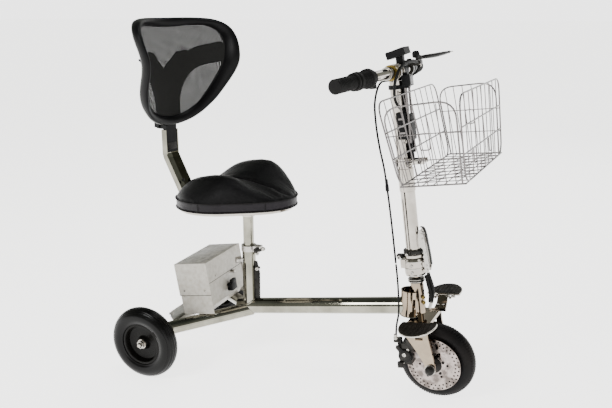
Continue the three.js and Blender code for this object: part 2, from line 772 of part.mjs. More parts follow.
function basket() {
  const wall = 3;
  const outer = loft([
    basketRing(56, 196, 202, BASKET_BOTTOM, 14),
    basketRing(50, 200, 207, BASKET_BOTTOM + 16, 22),
    basketRing(26, 200, 217, BASKET_TOP, 30),
  ]);
  const inner = loft([
    basketRing(56 + wall, 196 - wall, 202 - wall, BASKET_BOTTOM + wall, 12),
    basketRing(50 + wall, 200 - wall, 207 - wall, BASKET_BOTTOM + 17, 20),
    basketRing(26 + wall, 200 - wall, 217 - wall, BASKET_TOP + 1, 28),
  ]);
  return cut(outer, inner);
}

// Block and clamp that carry the basket on the stem.
function basketMount() {
  const box = block(12, 36, 64, point(25.5, 0, 516));
  const low = rod(point(0, 0, 422), point(0, 0, 440), 23);
  const plate = block(24, 30, 8, point(26, 0, 431));
  const back = block(4, 24, 70, point(21, 0, 462));
  const stem = rod(point(0, 0, 380), point(0, 0, 640), STEM_RADIUS + GAP);
  return cut(join(box, low, plate, back), stem);
}

add(steering, 'basket', basket(), chrome);
add(steering, 'basket_mount', basketMount(), blackSteel);

// ---------------------------------------------------------------- cables

// The brake cable's route on the steering assembly: from the lever, behind the bar, down to the calliper.
const upperRoute = [
  point(26, 108, 655), point(17, 84, 636), point(-6, 50, 629), point(-26, 12, 631), point(-31, -36, 628),
  point(-38, -60, 590), point(-39, -66, 540), point(-37, -64, 480), point(-32, -62, 430), point(-30, -60, 376),
  point(-29, -58, 300), point(FOLD_F, -57, 230), point(FOLD_F, -57, FOLD_W + CABLE_JOINT),
];
const lowerRoute = [
  point(FOLD_F, -57, FOLD_W - CABLE_JOINT), point(FOLD_F, -57, 150), point(-31, -57, 100), point(-36, -57, 50),
  point(-44, -58, 20), point(-50, -58, -18.6),
];

// The wires of the controls run in front of the bar, round the stem's right side and into the block on its front.
function harness() {
  return sweep([
    point(23, 98, 664), point(24, 70, 668), point(25, 36, 670), point(27, 4, 667), point(27, -24, 665),
    point(23, -42, 656), point(15, -53, 632), point(7, -45, 604), point(5, -37, 584), point(11, -29, 566),
    point(20, -19, 556), point(24, -11, 552),
  ], 3.6, 7, 24);
}

add(steering, 'brake_cable_upper', sweep(upperRoute, CABLE_RADIUS, 7, 48), rubber);
add(steering, 'brake_cable_lower', sweep(lowerRoute, CABLE_RADIUS, 8, 18), rubber);
add(steering, 'harness', harness(), rubber);

// ---------------------------------------------------------------- seat

// Half of the saddle's outline from the rear middle to the nose.
const saddleHalf = new THREE.SplineCurve([
  [-205, 0], [-196, 58], [-168, 112], [-112, 148], [-54, 157], [0, 147], [42, 124], [82, 98], [118, 70], [145, 38], [155, 0],
].map(([u, v]) => new THREE.Vector2(u, v)));

function saddleOutline(count) {
  const half = saddleHalf.getPoints(count / 2);
  const back = half.slice(1, -1).reverse().map((p) => new THREE.Vector2(p.x, -p.y));
  return [...half, ...back];
}

const SADDLE_CENTRE = -50;

// Height of the cushion's top over its own underside.
function saddleHeight(u, v, share) {
  const lobe = Math.exp(-(((Math.abs(v) - 92) / 58) ** 2) - (u / (u < 0 ? 200 : 100)) ** 2);
  const tail = 20 * THREE.MathUtils.smoothstep(-u, 110, 200);
  const crown = Math.sqrt(1 - share ** 6.5);
  return 27 + crown * (27 + 46 * lobe - tail + 0.06 * v);
}

function seatCushion() {
  const outline = saddleOutline(40);
  const ringAt = (share, height) => outline.map((p) => {
    const u = SADDLE_CENTRE + (p.x - SADDLE_CENTRE) * share;
    const v = p.y * share;
    return point(u, v, SEAT_BASE + SEAT_SLOPE * u + height(u, v));
  });
  const shares = [0.985, 0.94, 0.86, 0.72, 0.56, 0.38, 0.2, 0.05];
  return loft([
    ringAt(0.05, () => 0),
    ringAt(0.97, () => 0),
    ringAt(1, () => 5),
    ringAt(1, () => 25),
    ...shares.map((share) => ringAt(share, (u, v) => saddleHeight(u, v, share))),
  ]);
}

// The pressed pan under the cushion with its swivel hub.
function seatPan() {
  const outline = saddleOutline(30);
  const ringAt = (share, drop) => outline.map((p) => {
    const u = SADDLE_CENTRE + (p.x - SADDLE_CENTRE) * share;
    return point(u, p.y * share, SEAT_BASE + SEAT_SLOPE * u - drop);
  });
  const pan = loft([ringAt(0.9, 9), ringAt(0.94, 7), ringAt(0.94, GAP)]);
  const hub = rod(point(0, 0, POST_TOP + GAP), point(0, 0, 457), 24);
  const collar = tube(point(0, 0, 428), point(0, 0, 450), 20, POST_RADIUS + GAP);
  return cut(join(pan, hub, collar), rod(point(0, 0, 400), point(0, 0, POST_TOP + GAP), POST_RADIUS + GAP));
}

// Bent channel that carries the backrest: its side view, thick enough for the channel's depth.
function armOutline(rearSkin, frontSkin) {
  const line = [[-120, 435.2], [-196, 429.9], [-206, 431], [-246, 462], [-304, 556], [-308, 566], [-308, 638]];
  const offset = (distance) => line.map(([u, z], i) => {
    const [before, after] = [line[Math.max(0, i - 1)], line[Math.min(line.length - 1, i + 1)]];
    const run = new THREE.Vector2(after[0] - before[0], after[1] - before[1]).normalize();
    return [u + run.y * distance, z - run.x * distance];
  });
  return [...offset(rearSkin), ...offset(frontSkin).reverse()];
}

function backArm() {
  const outer = plateAcross(armOutline(-9, 9), 48);
  const hollow = plateAcross(armOutline(-6, 12), 42);
  return cut(outer, hollow);
}

add(seat, 'seat_cushion', seatCushion(), vinyl);
add(seat, 'seat_pan', seatPan(), chrome);
add(seat, 'back_arm', backArm(), chrome);

// ---------------------------------------------------------------- backrest

// Distance forward of the backrest's surface at a point of its front view.
function backSurface(v, z) {
  const wrap = 0.0024 + 0.0013 * Math.exp(-(((z - 835) / 70) ** 2));
  return BACK_U + wrap * v ** 2 - BACK_LEAN * (z - 660);
}

// Right half of the front view, from the bottom middle to the top middle.
const backHalf = new THREE.SplineCurve([
  [0, 652], [52, 660], [92, 679], [120, 704], [140, 731], [158, 770], [169, 812], [176, 860],
  [180, 898], [175, 924], [160, 942], [134, 953], [85, 957], [0, 957],
].map(([v, z]) => new THREE.Vector2(v, z)));

function backOutline(count) {
  const half = backHalf.getPoints(count / 2);
  const other = half.slice(1, -1).reverse().map((p) => new THREE.Vector2(-p.x, p.y));
  return [...half, ...other];
}

const BACK_CENTRE_Z = 815;
const FRAME_WIDTH = 27;

function backInset(p, inset) {
  const away = new THREE.Vector2(p.x, p.y - BACK_CENTRE_Z);
  const length = away.length();
  const scale = (length - inset) / length;
  return new THREE.Vector2(away.x * scale, BACK_CENTRE_Z + away.y * scale);
}

function backFrame() {
  const rings = backOutline(52).map((p) => {
    const inner = backInset(p, FRAME_WIDTH);
    const [depthOut, depthIn] = [backSurface(p.x, p.y), backSurface(inner.x, inner.y)];
    return [
      point(depthOut - 8, p.x, p.y), point(depthOut + 6, p.x, p.y),
      point(depthIn + 8, inner.x, inner.y), point(depthIn - 8, inner.x, inner.y),
    ];
  });
  return loft(rings, true);
}

// The net panel held inside the frame.
function backMesh() {
  const outline = backOutline(36);
  const layer = (offset) => [0.06, 0.35, 0.65, 1].map((share) => outline.map((p) => {
    const edge = backInset(p, FRAME_WIDTH + 2);
    const v = edge.x * share;
    const z = BACK_CENTRE_Z + (edge.y - BACK_CENTRE_Z) * share;
    return point(backSurface(v, z) + offset, v, z);
  }));
  return loft([...layer(3), ...layer(0.8).reverse()]);
}

const BEHIND = 12.2;             // how far the support stands behind the panel's surface

// One moulded strip of the rear support, following the panel's curve.
function backStrip(centreLine, halfWidths, thickness) {
  const curve = new THREE.SplineCurve(centreLine.map(([v, z]) => new THREE.Vector2(v, z)));
  const steps = 8;
  const rings = Array.from({ length: steps + 1 }, (_, i) => {
    const share = i / steps;
    const middle = curve.getPoint(share);
    const run = curve.getTangent(share);
    const half = THREE.MathUtils.lerp(halfWidths[0], halfWidths[1], share);
    const edges = [-1, 1].map((end) => [middle.x - end * half * run.y, middle.y + end * half * run.x]);
    const [one, two] = edges;
    return [
      point(backSurface(...one) - BEHIND - thickness, ...one), point(backSurface(...two) - BEHIND - thickness, ...two),
      point(backSurface(...two) - BEHIND, ...two), point(backSurface(...one) - BEHIND, ...one),
    ];
  });
  return loft(rings);
}

function backSpine() {
  const trunk = backStrip([[0, 664], [0, 730], [0, 800]], [40, 44], 12);
  const arms = sides.map(([, side]) => backStrip(
    [[side * 18, 748], [side * 56, 812], [side * 104, 850], [side * 164, 860]], [26, 29], 12,
  ));
  return join(trunk, ...arms);
}

function backBracket() {
  const body = block(18, 50, 40, point(-337, 0, 663));
  const shoe = block(13, 40, 78, point(-307, 0, 610));
  const neck = block(42, 40, 11.6, point(-321.5, 0, 645.6));
  return join(body, shoe, neck);
}

add(seat, 'back_bracket', backBracket(), plastic);
add(seat, 'back_frame', backFrame(), plastic);
add(seat, 'back_mesh', backMesh(), netting);
add(seat, 'back_spine', backSpine(), plastic);

export default scooter;
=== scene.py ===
"""Looks of the three-wheeled mobility scooter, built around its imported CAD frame."""

import math

import bmesh
import bpy
from mathutils import Matrix, Vector, noise


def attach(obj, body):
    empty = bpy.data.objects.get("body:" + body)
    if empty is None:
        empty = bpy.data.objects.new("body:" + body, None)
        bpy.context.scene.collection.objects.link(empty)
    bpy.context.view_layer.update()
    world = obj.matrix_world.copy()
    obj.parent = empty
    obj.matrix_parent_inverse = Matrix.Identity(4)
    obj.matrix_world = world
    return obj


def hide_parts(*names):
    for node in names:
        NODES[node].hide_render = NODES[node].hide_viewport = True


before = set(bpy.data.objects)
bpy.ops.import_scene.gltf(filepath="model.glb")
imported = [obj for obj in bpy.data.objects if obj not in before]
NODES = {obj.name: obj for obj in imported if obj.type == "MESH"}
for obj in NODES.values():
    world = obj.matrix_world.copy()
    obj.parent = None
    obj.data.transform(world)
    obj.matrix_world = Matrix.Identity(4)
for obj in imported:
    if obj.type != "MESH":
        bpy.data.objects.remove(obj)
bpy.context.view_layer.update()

TURN = 2 * math.pi
MM = 0.001
SIDES = (("right", -1), ("left", 1))
CHASSIS_LEAN = 9.6
POST_X = 214
FLOOR_GLOW = 2.8
HORIZON = 3.2                    # as bright as the floor, so no line shows between them

# ---- frames of the CAD groups, in millimetres


def moved(x, y, z):
    return Matrix.Translation((x, y, z))


def turned(angle, axis):
    return Matrix.Rotation(math.radians(angle), 4, axis)


WORLD = Matrix.Scale(MM, 4) @ moved(-368.5, -1.2, 0)
CHASSIS = WORLD @ moved(0, 0, 121) @ turned(-CHASSIS_LEAN, "Y")
POST = WORLD @ moved(POST_X, 0, 0)
SEAT = POST @ turned(-15, "Z")
HEAD = WORLD @ moved(713, 0, 188) @ turned(-7.7, "Y")
STEER = HEAD @ turned(-3, "Z")
FRONT_WHEEL = STEER @ moved(35.8, 0, -93.6)
REAR_WHEEL = {side: WORLD @ moved(0, sign * 215, 100) for side, sign in SIDES}


# ---- material nodes


class Shader:
    """One node material: a Principled shader with helpers that wire noise and patterns into it."""

    def __init__(self, name, colour, roughness, metallic=0.0, **sockets):
        self.material = bpy.data.materials.new(name)
        self.material.use_nodes = True
        self.nodes = self.material.node_tree.nodes
        self.links = self.material.node_tree.links
        self.shader = self.nodes["Principled BSDF"]
        self.shader.inputs["Base Color"].default_value = (*colour, 1)
        self.shader.inputs["Roughness"].default_value = roughness
        self.shader.inputs["Metallic"].default_value = metallic
        for socket, value in sockets.items():
            self.shader.inputs[socket.replace("_", " ")].default_value = value
        self.coordinates = self.nodes.new("ShaderNodeTexCoord")
        self.height = None

    def node(self, kind, inputs=(), **settings):
        made = self.nodes.new(kind)
        for key, value in settings.items():
            setattr(made, key, value)
        for key, value in dict(inputs).items():
            if isinstance(value, bpy.types.NodeSocket):
                self.links.new(value, made.inputs[key])
            else:
                made.inputs[key].default_value = value
        return made

    def noise(self, scale, detail=3, stretch=(1, 1, 1)):
        """Noise between 0 and 1 over the object, scale in repeats per metre."""
        place = {"Vector": self.coordinates.outputs["Object"], "Scale": stretch}
        vector = self.node("ShaderNodeMapping", place).outputs["Vector"]
        inputs = {"Vector": vector, "Scale": scale, "Detail": detail}
        return self.node("ShaderNodeTexNoise", inputs).outputs["Fac"]

    def ramp(self, fac, low, high, start=0.3, end=0.7):
        inputs = {"Value": fac, "From Min": start, "From Max": end, "To Min": low, "To Max": high}
        return self.node("ShaderNodeMapRange", inputs).outputs["Result"]

    def mix(self, fac, first, second):
        ends = [v if isinstance(v, bpy.types.NodeSocket) else (*v, 1) for v in (first, second)]
        return self.node("ShaderNodeMix", {0: fac, 6: ends[0], 7: ends[1]}, data_type="RGBA").outputs[2]

    def math(self, operation, first, second=0.0):
        return self.node("ShaderNodeMath", {0: first, 1: second}, operation=operation).outputs["Value"]

    def set(self, socket, source):
        self.links.new(source, self.shader.inputs[socket])

    def bump(self, fac, distance, strength=1.0):
        """Adds one layer of relief, distance in metres."""
        inputs = {"Height": fac, "Distance": distance, "Strength": strength}
        if self.height:
            inputs["Normal"] = self.height
        self.height = self.node("ShaderNodeBump", inputs).outputs["Normal"]
        self.set("Normal", self.height)

    def worn_edges(self, share, width):
        """A mask that is 1 on convex edges and 0 elsewhere."""
        geometry = self.node("ShaderNodeNewGeometry")
        edge = self.ramp(geometry.outputs["Pointiness"], 0, 1, 0.5 + share, 0.5 + share + width)
        return self.math("MULTIPLY", edge, self.ramp(self.noise(90), 0.3, 1))


def surface(name, rough, tint, relief=None, metallic=0.0, specular=0.5, worn=None, stretch=(1, 1, 1)):
    """A material made of noise, which is given as scale and detail.

    rough is one number, or noise and its range. tint is noise, two colours and the range of their mix.
    relief is noise, depth in metres and strength. worn is the share, width and colour of rubbed edges.
    """
    varied = isinstance(rough, tuple)
    shader = Shader(name, tint[2], 0.5 if varied else rough, metallic, Specular_IOR_Level=specular)
    if varied:
        shader.set("Roughness", shader.ramp(shader.noise(rough[0], rough[1], stretch), *rough[2:]))
    scale, detail, first, second, *shares = tint
    fac = shader.noise(scale, detail)
    base = shader.mix(shader.ramp(fac, *shares) if shares else fac, first, second)
    if worn:
        share, width, colour = worn
        base = shader.mix(shader.worn_edges(share, width), base, colour)
    shader.set("Base Color", base)
    if relief:
        scale, detail, depth, strength = relief
        shader.bump(shader.noise(scale, detail, stretch), depth, strength)
    return shader.material


def chrome_plate(name, bright, dull):
    return surface(name, (14, 5, 0.03, 0.1), (22, 4, bright, dull, 0, 1), (30, 2, 0.0002, 0.25), 1.0)


def painted_sheet(name, colour, dirt):
    tint = (7, 4, colour, dirt, 0, 0.5)
    worn = (0.02, 0.05, (0.42, 0.4, 0.36))
    return surface(name, (25, 4, 0.34, 0.52), tint, (900, 2, 0.00008, 0.5), worn=worn)


def moulded_plastic(name, colour, smoothest, roughest, grain):
    light = tuple(c * 1.5 + 0.0015 for c in colour)
    rough = (45, 4, smoothest, roughest)
    return surface(name, rough, (16, 3, colour, light), (1400, 2, 0.00006, grain), specular=0.08)


def tyre_rubber(name, shine, specular, dust):
    tint = (12, 5, (0.0015, 0.0015, 0.0016), dust, 0, 0.6)
    return surface(name, (30, 4, 0.62 - shine, 0.78 - shine), tint, (500, 3, 0.0001, 0.6), specular=specular)


def seat_vinyl(name, dark, light, specular):
    shader = Shader(name, dark, 0.42, Specular_IOR_Level=specular)
    cells = shader.node(
        "ShaderNodeTexVoronoi",
        {"Vector": shader.coordinates.outputs["Object"], "Scale": 650.0},
        feature="DISTANCE_TO_EDGE",
    ).outputs["Distance"]
    shader.set("Roughness", shader.ramp(shader.noise(22, 5), 0.34, 0.5))
    shader.set("Base Color", shader.mix(shader.noise(9, 4), dark, light))
    shader.bump(shader.ramp(cells, 0, 1, 0, 0.2), 0.00022, 0.45)
    shader.bump(shader.noise(14, 3), 0.0012, 0.5)
    return shader.material


NET_PITCH = 0.0031


def back_net():
    """A knitted net with real openings: two crossing sets of diagonal strands and a fine weft."""
    shader = Shader("back_net", (0.005, 0.005, 0.005), 0.7, Specular_IOR_Level=0.1)
    uv = shader.node("ShaderNodeUVMap", uv_map="panel").outputs["UV"]
    split = shader.node("ShaderNodeSeparateXYZ", {"Vector": uv})
    strands = []
    for along, across in ((1, 1), (1, -1), (0, 1)):
        place = shader.math(
            "ADD",
            shader.math("MULTIPLY", split.outputs["X"], along / NET_PITCH),
            shader.math("MULTIPLY", split.outputs["Y"], across / NET_PITCH),
        )
        part = shader.math("ABSOLUTE", shader.math("SUBTRACT", shader.math("FRACT", place), 0.5))
        width = 0.345 if along else 0.2
        strands.append(shader.ramp(part, 1, 0, width - 0.03, width + 0.03))
    cover = shader.math("MAXIMUM", shader.math("MAXIMUM", strands[0], strands[1]), strands[2])
    shader.set("Alpha", cover)
    shader.set("Base Color", shader.mix(shader.noise(300), (0.003, 0.003, 0.003), (0.012, 0.012, 0.011)))
    shader.bump(cover, 0.0004, 0.7)
    return shader.material


def lamp_glass():
    shader = Shader("lamp_glass", (0.02, 0.02, 0.022), 0.1, Specular_IOR_Level=0.4)
    ribs = shader.node(
        "ShaderNodeTexWave",
        {"Vector": shader.coordinates.outputs["Object"], "Scale": 160.0},
        bands_direction="Y",
    ).outputs["Fac"]
    shader.set("Base Color", shader.mix(ribs, (0.01, 0.01, 0.011), (0.04, 0.04, 0.042)))
    shader.bump(ribs, 0.0004, 0.6)
    return shader.material


CHROME = chrome_plate("chrome_plate", (0.46, 0.43, 0.39), (0.31, 0.285, 0.25))
TUBE_CHROME = chrome_plate("tube_chrome", (0.27, 0.26, 0.215), (0.16, 0.155, 0.125))
WARM_CHROME = chrome_plate("warm_chrome", (0.29, 0.235, 0.175), (0.2, 0.16, 0.12))
WIRE = surface(
    "wire_chrome", (60, 3, 0.12, 0.3), (25, 3, (0.19, 0.175, 0.17), (0.07, 0.065, 0.065)), metallic=1.0
)
STEEL = surface(
    "brushed_steel", (500, 2, 0.2, 0.38), (18, 3, (0.44, 0.42, 0.39), (0.28, 0.27, 0.25)),
    (500, 2, 0.00012, 0.35), metallic=1.0, stretch=(1, 1, 14),
)
DISC = surface(
    "mirror_disc", (75, 8, 0.1, 0.42, 0.42, 0.58),
    (60, 6, (0.33, 0.285, 0.265), (0.13, 0.11, 0.1), 0, 1, 0.42, 0.6), (90, 5, 0.0007, 0.4), metallic=1.0,
)
BOX_PAINT = painted_sheet("box_paint", (0.29, 0.265, 0.218), (0.24, 0.22, 0.18))
LID_TOP = painted_sheet("lid_panel", (0.045, 0.05, 0.045), (0.03, 0.032, 0.03))
TAIL_PAINT = painted_sheet("tail_paint", (0.2, 0.205, 0.18), (0.14, 0.14, 0.125))
BLACK = surface(
    "black_paint", (80, 4, 0.24, 0.42), (20, 3, (0.002, 0.002, 0.002), (0.005, 0.0045, 0.004)),
    (700, 2, 0.00006, 0.5), specular=0.1, worn=(0.03, 0.06, (0.03, 0.028, 0.025)),
)
PLASTIC = moulded_plastic("black_plastic", (0.002, 0.002, 0.0022), 0.3, 0.46, 0.4)
GLOSS = moulded_plastic("ring_plastic", (0.0015, 0.0015, 0.0017), 0.3, 0.42, 0.3)
RIM_PLASTIC = moulded_plastic("rim_plastic", (0.0015, 0.0013, 0.001), 0.22, 0.36, 0.3)
REAR_TYRE = tyre_rubber("rear_tyre_rubber", 0.5, 0.12, (0.0035, 0.0033, 0.003))
FRONT_TYRE = tyre_rubber("front_tyre_rubber", 0.16, 0.1, (0.011, 0.0075, 0.0065))
VINYL = seat_vinyl("seat_vinyl", (0.0015, 0.0015, 0.0017), (0.0045, 0.0042, 0.0045), 0.08)
# The skirt is the seat's vinyl with a lighter purple-grey tone than the top: a painted sheen on the seat's
# sides.
SKIRT_PAINTED_SHEEN = seat_vinyl("seat_skirt_painted_sheen", (0.002, 0.0017, 0.002), (0.014, 0.0115, 0.015), 0.12)
THREAD = surface(
    "seat_thread", 0.6, (900, 3, (0.002, 0.002, 0.002), (0.009, 0.008, 0.008)), (1500, 2, 0.0002, 0.8),
    specular=0.1,
)
NET = back_net()
GRIP = surface(
    "grip_rubber", (60, 4, 0.48, 0.7), (25, 3, (0.002, 0.002, 0.002), (0.006, 0.0057, 0.0055)),
    (1200, 2, 0.00015, 0.8), specular=0.1,
)
AMBER = surface(
    "amber_collar", (60, 3, 0.2, 0.36), (35, 4, (0.24, 0.165, 0.03), (0.1, 0.07, 0.014)), metallic=0.6
)
FOOT = surface(
    "footrest_cover", (50, 4, 0.5, 0.72), (20, 4, (0.005, 0.0035, 0.0022), (0.011, 0.0078, 0.005)),
    (800, 3, 0.0003, 0.8), specular=0.1,
)
LAMP = lamp_glass()


# ---- mesh helpers


def piece(name, bm, body, material, replaces=(), smooth=35):
    """Puts a finished mesh, in world metres, into the scene on its CAD body."""
    bmesh.ops.recalc_face_normals(bm, faces=bm.faces)
    mesh = bpy.data.meshes.new(name)
    bm.to_mesh(mesh)
    bm.free()
    made = bpy.data.objects.new(name, mesh)
    bpy.context.scene.collection.objects.link(made)
    materials = material if isinstance(material, tuple) else (material,)
    for each in materials:
        mesh.materials.append(each)
    smooth_by_angle(mesh, smooth)
    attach(made, body)
    if replaces:
        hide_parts(*replaces)
    return made


def smooth_by_angle(mesh, degrees):
    mesh.shade_smooth()
    mesh.set_sharp_from_angle(angle=math.radians(degrees))


def add_rings(bm, rings, closed_chain=False):
    """Skins a chain of rings, each a list of world points. An open chain gets a cap at each end."""
    rows = [[bm.verts.new(p) for p in ring] for ring in rings]
    count = len(rows[0])
    spans = len(rows) if closed_chain else len(rows) - 1
    for i in range(spans):
        here, there = rows[i], rows[(i + 1) % len(rows)]
        for j in range(count):
            k = (j + 1) % count
            bm.faces.new((here[j], here[k], there[k], there[j]))
    if not closed_chain:
        bm.faces.new(rows[0])
        bm.faces.new(list(reversed(rows[-1])))


def add_lathe(bm, place, profile, sides=64):
    """Turns a closed profile of [radius, height] pairs around the Y axis of a CAD frame."""
    rings = []
    for i in range(sides):
        angle = TURN * i / sides
        c, s = math.cos(angle), math.sin(angle)
        rings.append([place @ Vector((r * c, h, r * s)) for r, h in profile])
    add_rings(bm, rings, closed_chain=True)


def add_turned(bm, place, profile, sides=48):
    """Turns a closed [radius, height] profile around the Z axis of a CAD frame."""
    add_lathe(bm, place @ turned(90, "X"), profile, sides)


def curve_points(points, per_span=8, closed=False):
    """A Catmull-Rom curve through points."""
    path = [Vector(p) for p in points]
    made = []
    spans = len(path) if closed else len(path) - 1
    for i in range(spans):
        if closed:
            a, b, c, d = (path[(i + k) % len(path)] for k in (-1, 0, 1, 2))
        else:
            a, b, c, d = (path[min(max(i + k, 0), len(path) - 1)] for k in (-1, 0, 1, 2))
        for step in range(per_span):
            t = step / per_span
            curve = 2 * b + (c - a) * t + (2 * a - 5 * b + 4 * c - d) * t**2 + (3 * b - a - 3 * c + d) * t**3
            made.append(0.5 * curve)
    if not closed:
        made.append(path[-1])
    return made


def add_wire(bm, place, points, radius, sides=10, closed=False):
    """A round wire through points of a CAD frame. Radius is a number or a function of the share along it."""
    path = [Vector(p) for p in points]
    count = len(path)
    tangents = []
    for i in range(count):
        before = path[i - 1] if closed or i > 0 else path[i]
        after = path[(i + 1) % count] if closed or i < count - 1 else path[i]
        tangents.append((after - before).normalized())
    normal = tangents[0].orthogonal().normalized()
    rings = []
    for i, (centre, tangent) in enumerate(zip(path, tangents)):
        normal = (normal - tangent * normal.dot(tangent)).normalized()
        side = tangent.cross(normal)
        size = radius(i / max(count - 1, 1)) if callable(radius) else radius
        ring = []
        for j in range(sides):
            angle = TURN * j / sides
            ring.append(place @ (centre + size * (math.cos(angle) * normal + math.sin(angle) * side)))
        rings.append(ring)
    add_rings(bm, rings, closed_chain=closed)


def add_block(bm, place, size, centre, bevel=1.0, segments=2):
    """A box with rounded edges."""
    made = bmesh.ops.create_cube(bm, size=1.0)
    fit = place @ moved(*centre) @ Matrix.Diagonal((*size, 1))
    bmesh.ops.transform(bm, matrix=fit, verts=made["verts"])
    round_edges(bm, made["verts"], bevel, segments)


def round_edges(bm, verts, bevel, segments=2):
    if not bevel:
        return
    edges = dict.fromkeys(e for v in verts for e in v.link_edges)
    sharp = [e for e in edges if len(e.link_faces) == 2 and e.calc_face_angle(0) > 0.5]
    bmesh.ops.bevel(bm, geom=sharp, offset=bevel * MM, segments=segments, affect="EDGES", profile=0.6)


def add_prism(bm, place, outline, low, high, bevel=0.6, segments=2, axis="Z"):
    """A flat shape of [a, b] pairs with thickness. Axis Z stands it on the X-Y plane, Y on the X-Z plane."""

    def at(a, b, depth):
        return place @ (Vector((a, b, depth)) if axis == "Z" else Vector((a, depth, b)))

    bottom = [bm.verts.new(at(a, b, low)) for a, b in outline]
    top = [bm.verts.new(at(a, b, high)) for a, b in outline]
    count = len(outline)
    for i in range(count):
        k = (i + 1) % count
        bm.faces.new((bottom[i], bottom[k], top[k], top[i]))
    bm.faces.new(top)
    bm.faces.new(list(reversed(bottom)))
    round_edges(bm, bottom + top, bevel, segments)


def facing(axis):
    """The turn that brings Z onto an axis."""
    return Vector((0, 0, 1)).rotation_difference(Vector(axis)).to_matrix()


def around(centre, axis, radius, count=40):
    """Points on a circle about an axis."""
    turn = facing(axis)
    angles = [TURN * i / count for i in range(count)]
    return [Vector(centre) + turn @ Vector((radius * math.cos(a), radius * math.sin(a), 0)) for a in angles]


def add_bolt(bm, place, centre, axis, radius, height):
    """A hexagon head with a chamfer, standing on centre along axis."""
    seat = place @ moved(*centre) @ facing(axis).to_4x4()
    angles = [TURN * i / 6 for i in range(6)]
    outline = [(radius * math.cos(a), radius * math.sin(a)) for a in angles]
    add_prism(bm, seat, outline, 0, height, bevel=min(0.8, height / 3))


def add_socket_bolt(bm, place, centre, axis, radius, height):
    """A round cap head with a hollow middle, standing on centre along axis."""
    seat = place @ moved(*centre) @ facing(axis).to_4x4()
    well = radius * 0.5
    head = [
        (0.01, 0), (radius, 0), (radius, height * 0.8), (radius * 0.85, height), (well, height),
        (well, height / 2), (0.01, height / 2),
    ]
    add_turned(bm, seat, head, 24)


def socket_bolts(name, body, material, place, rows):
    """A piece made only of cap heads, each a centre, an axis, a radius and a height."""
    bm = bmesh.new()
    for row in rows:
        add_socket_bolt(bm, place, *row)
    piece(name, bm, body, material)


def weld_bead(bm, place, points, radius=2.2):
    """A slightly uneven bead of weld along a closed run of points."""

    def uneven(share):
        return radius * (1 + 0.14 * noise.noise(Vector((share * 40, radius, 0))))

    add_wire(bm, place, points, uneven, 8, closed=True)


def dress(node, material, bevel=0.5, smooth=35):
    """Gives a CAD node its finish, with its edges eased by modifiers."""
    thing = NODES[node]
    thing.data.materials.clear()
    thing.data.materials.append(material)
    smooth_by_angle(thing.data, smooth)
    if bevel:
        flat = thing.modifiers.new("flat", "DECIMATE")
        flat.decimate_type = "DISSOLVE"
        flat.angle_limit = math.radians(1.5)
        eased = thing.modifiers.new("eased", "BEVEL")
        eased.width = bevel * MM
        eased.segments = 2
        eased.limit_method = "ANGLE"
        eased.angle_limit = math.radians(40)
        eased.harden_normals = False


# ---- frame tubes


def frame_tubes():
    for node in ("main_tube", "rear_tube_right", "rear_tube_left", "seat_socket"):
        dress(node, TUBE_CHROME, 0.4)
    for node in ("front_socket", "head_tube"):
        dress(node, WARM_CHROME, 0.4)
    for node in ("rear_axle_right", "rear_axle_left", "post_clamp", "index_pin"):
        dress(node, STEEL, 0.5)
    dress("tail_plate", TAIL_PAINT, 0.5)
    dress("post_gusset", BLACK, 0.8)
    dress("headset_ring", BLACK, 0.8)
    dress("battery_pack", PLASTIC, 1)


def saddle_run(upright_x, upright_radius, tube_z, tube_radius, count=48):
    """Where an upright round post meets the top of a round tube that runs along X, in the chassis frame."""
    run = []
    for i in range(count):
        angle = TURN * i / count
        y = upright_radius * math.sin(angle)
        z = tube_z + math.sqrt(max(tube_radius**2 - y**2, 0))
        run.append((upright_x + upright_radius * math.cos(angle), y, z))
    return run


def frame_welds():
    bm = bmesh.new()
    post_x = POST_X / math.cos(math.radians(CHASSIS_LEAN)) + 3.5
    weld_bead(bm, CHASSIS, saddle_run(post_x, 19.4, 1, 22.6))
    weld_bead(bm, WORLD, around((683, 0, 213), (0, 0, 1), 25.6), 1.2)
    piece("frame_weld_beads", bm, "frame", TUBE_CHROME, smooth=60)


def post_fittings():
    """The clamp's bolts, the lever's end ring and the index pin's ribbed knob."""
    bm = bmesh.new()
    add_bolt(bm, POST, (31, 11, 334), (0, 1, 0), 6, 4)
    add_socket_bolt(bm, POST, (28, -6, 276), (0, -1, 0), 5, 4)
    add_socket_bolt(bm, POST, (24, 0, 318), (1, 0, 0.2), 5, 5)
    piece("post_bolts", bm, "frame", STEEL)
    dress("post_lever", BLACK, 0.5)
    bm = bmesh.new()
    knob = [(0.01, -1), (5.4, -1), (5.8, 3), (4.4, 6), (0.01, 6.4)]
    add_turned(bm, POST @ moved(53, -19, 341) @ turned(62, "Y"), knob, 24)
    piece("post_lever_end", bm, "post_lever", STEEL)
    bm = bmesh.new()
    away = Vector((-1, -1, 0)).normalized()
    for share in (27, 30.5, 34):
        centre = away * share + Vector((0, 0, 302))
        add_wire(bm, POST, around(centre, away, 9.2, 28), 0.9, 6, closed=True)
    piece("index_pin_ribs", bm, "index_pin", STEEL)
    dress("post_tube", TUBE_CHROME, 0.3)


# ---- battery box

SIDE_FLAP, END_FLAP = 68.6, 102.6
BOX = {"rear": 54.0, "front": 158.0, "half": 97.0, "roof": 160.6}


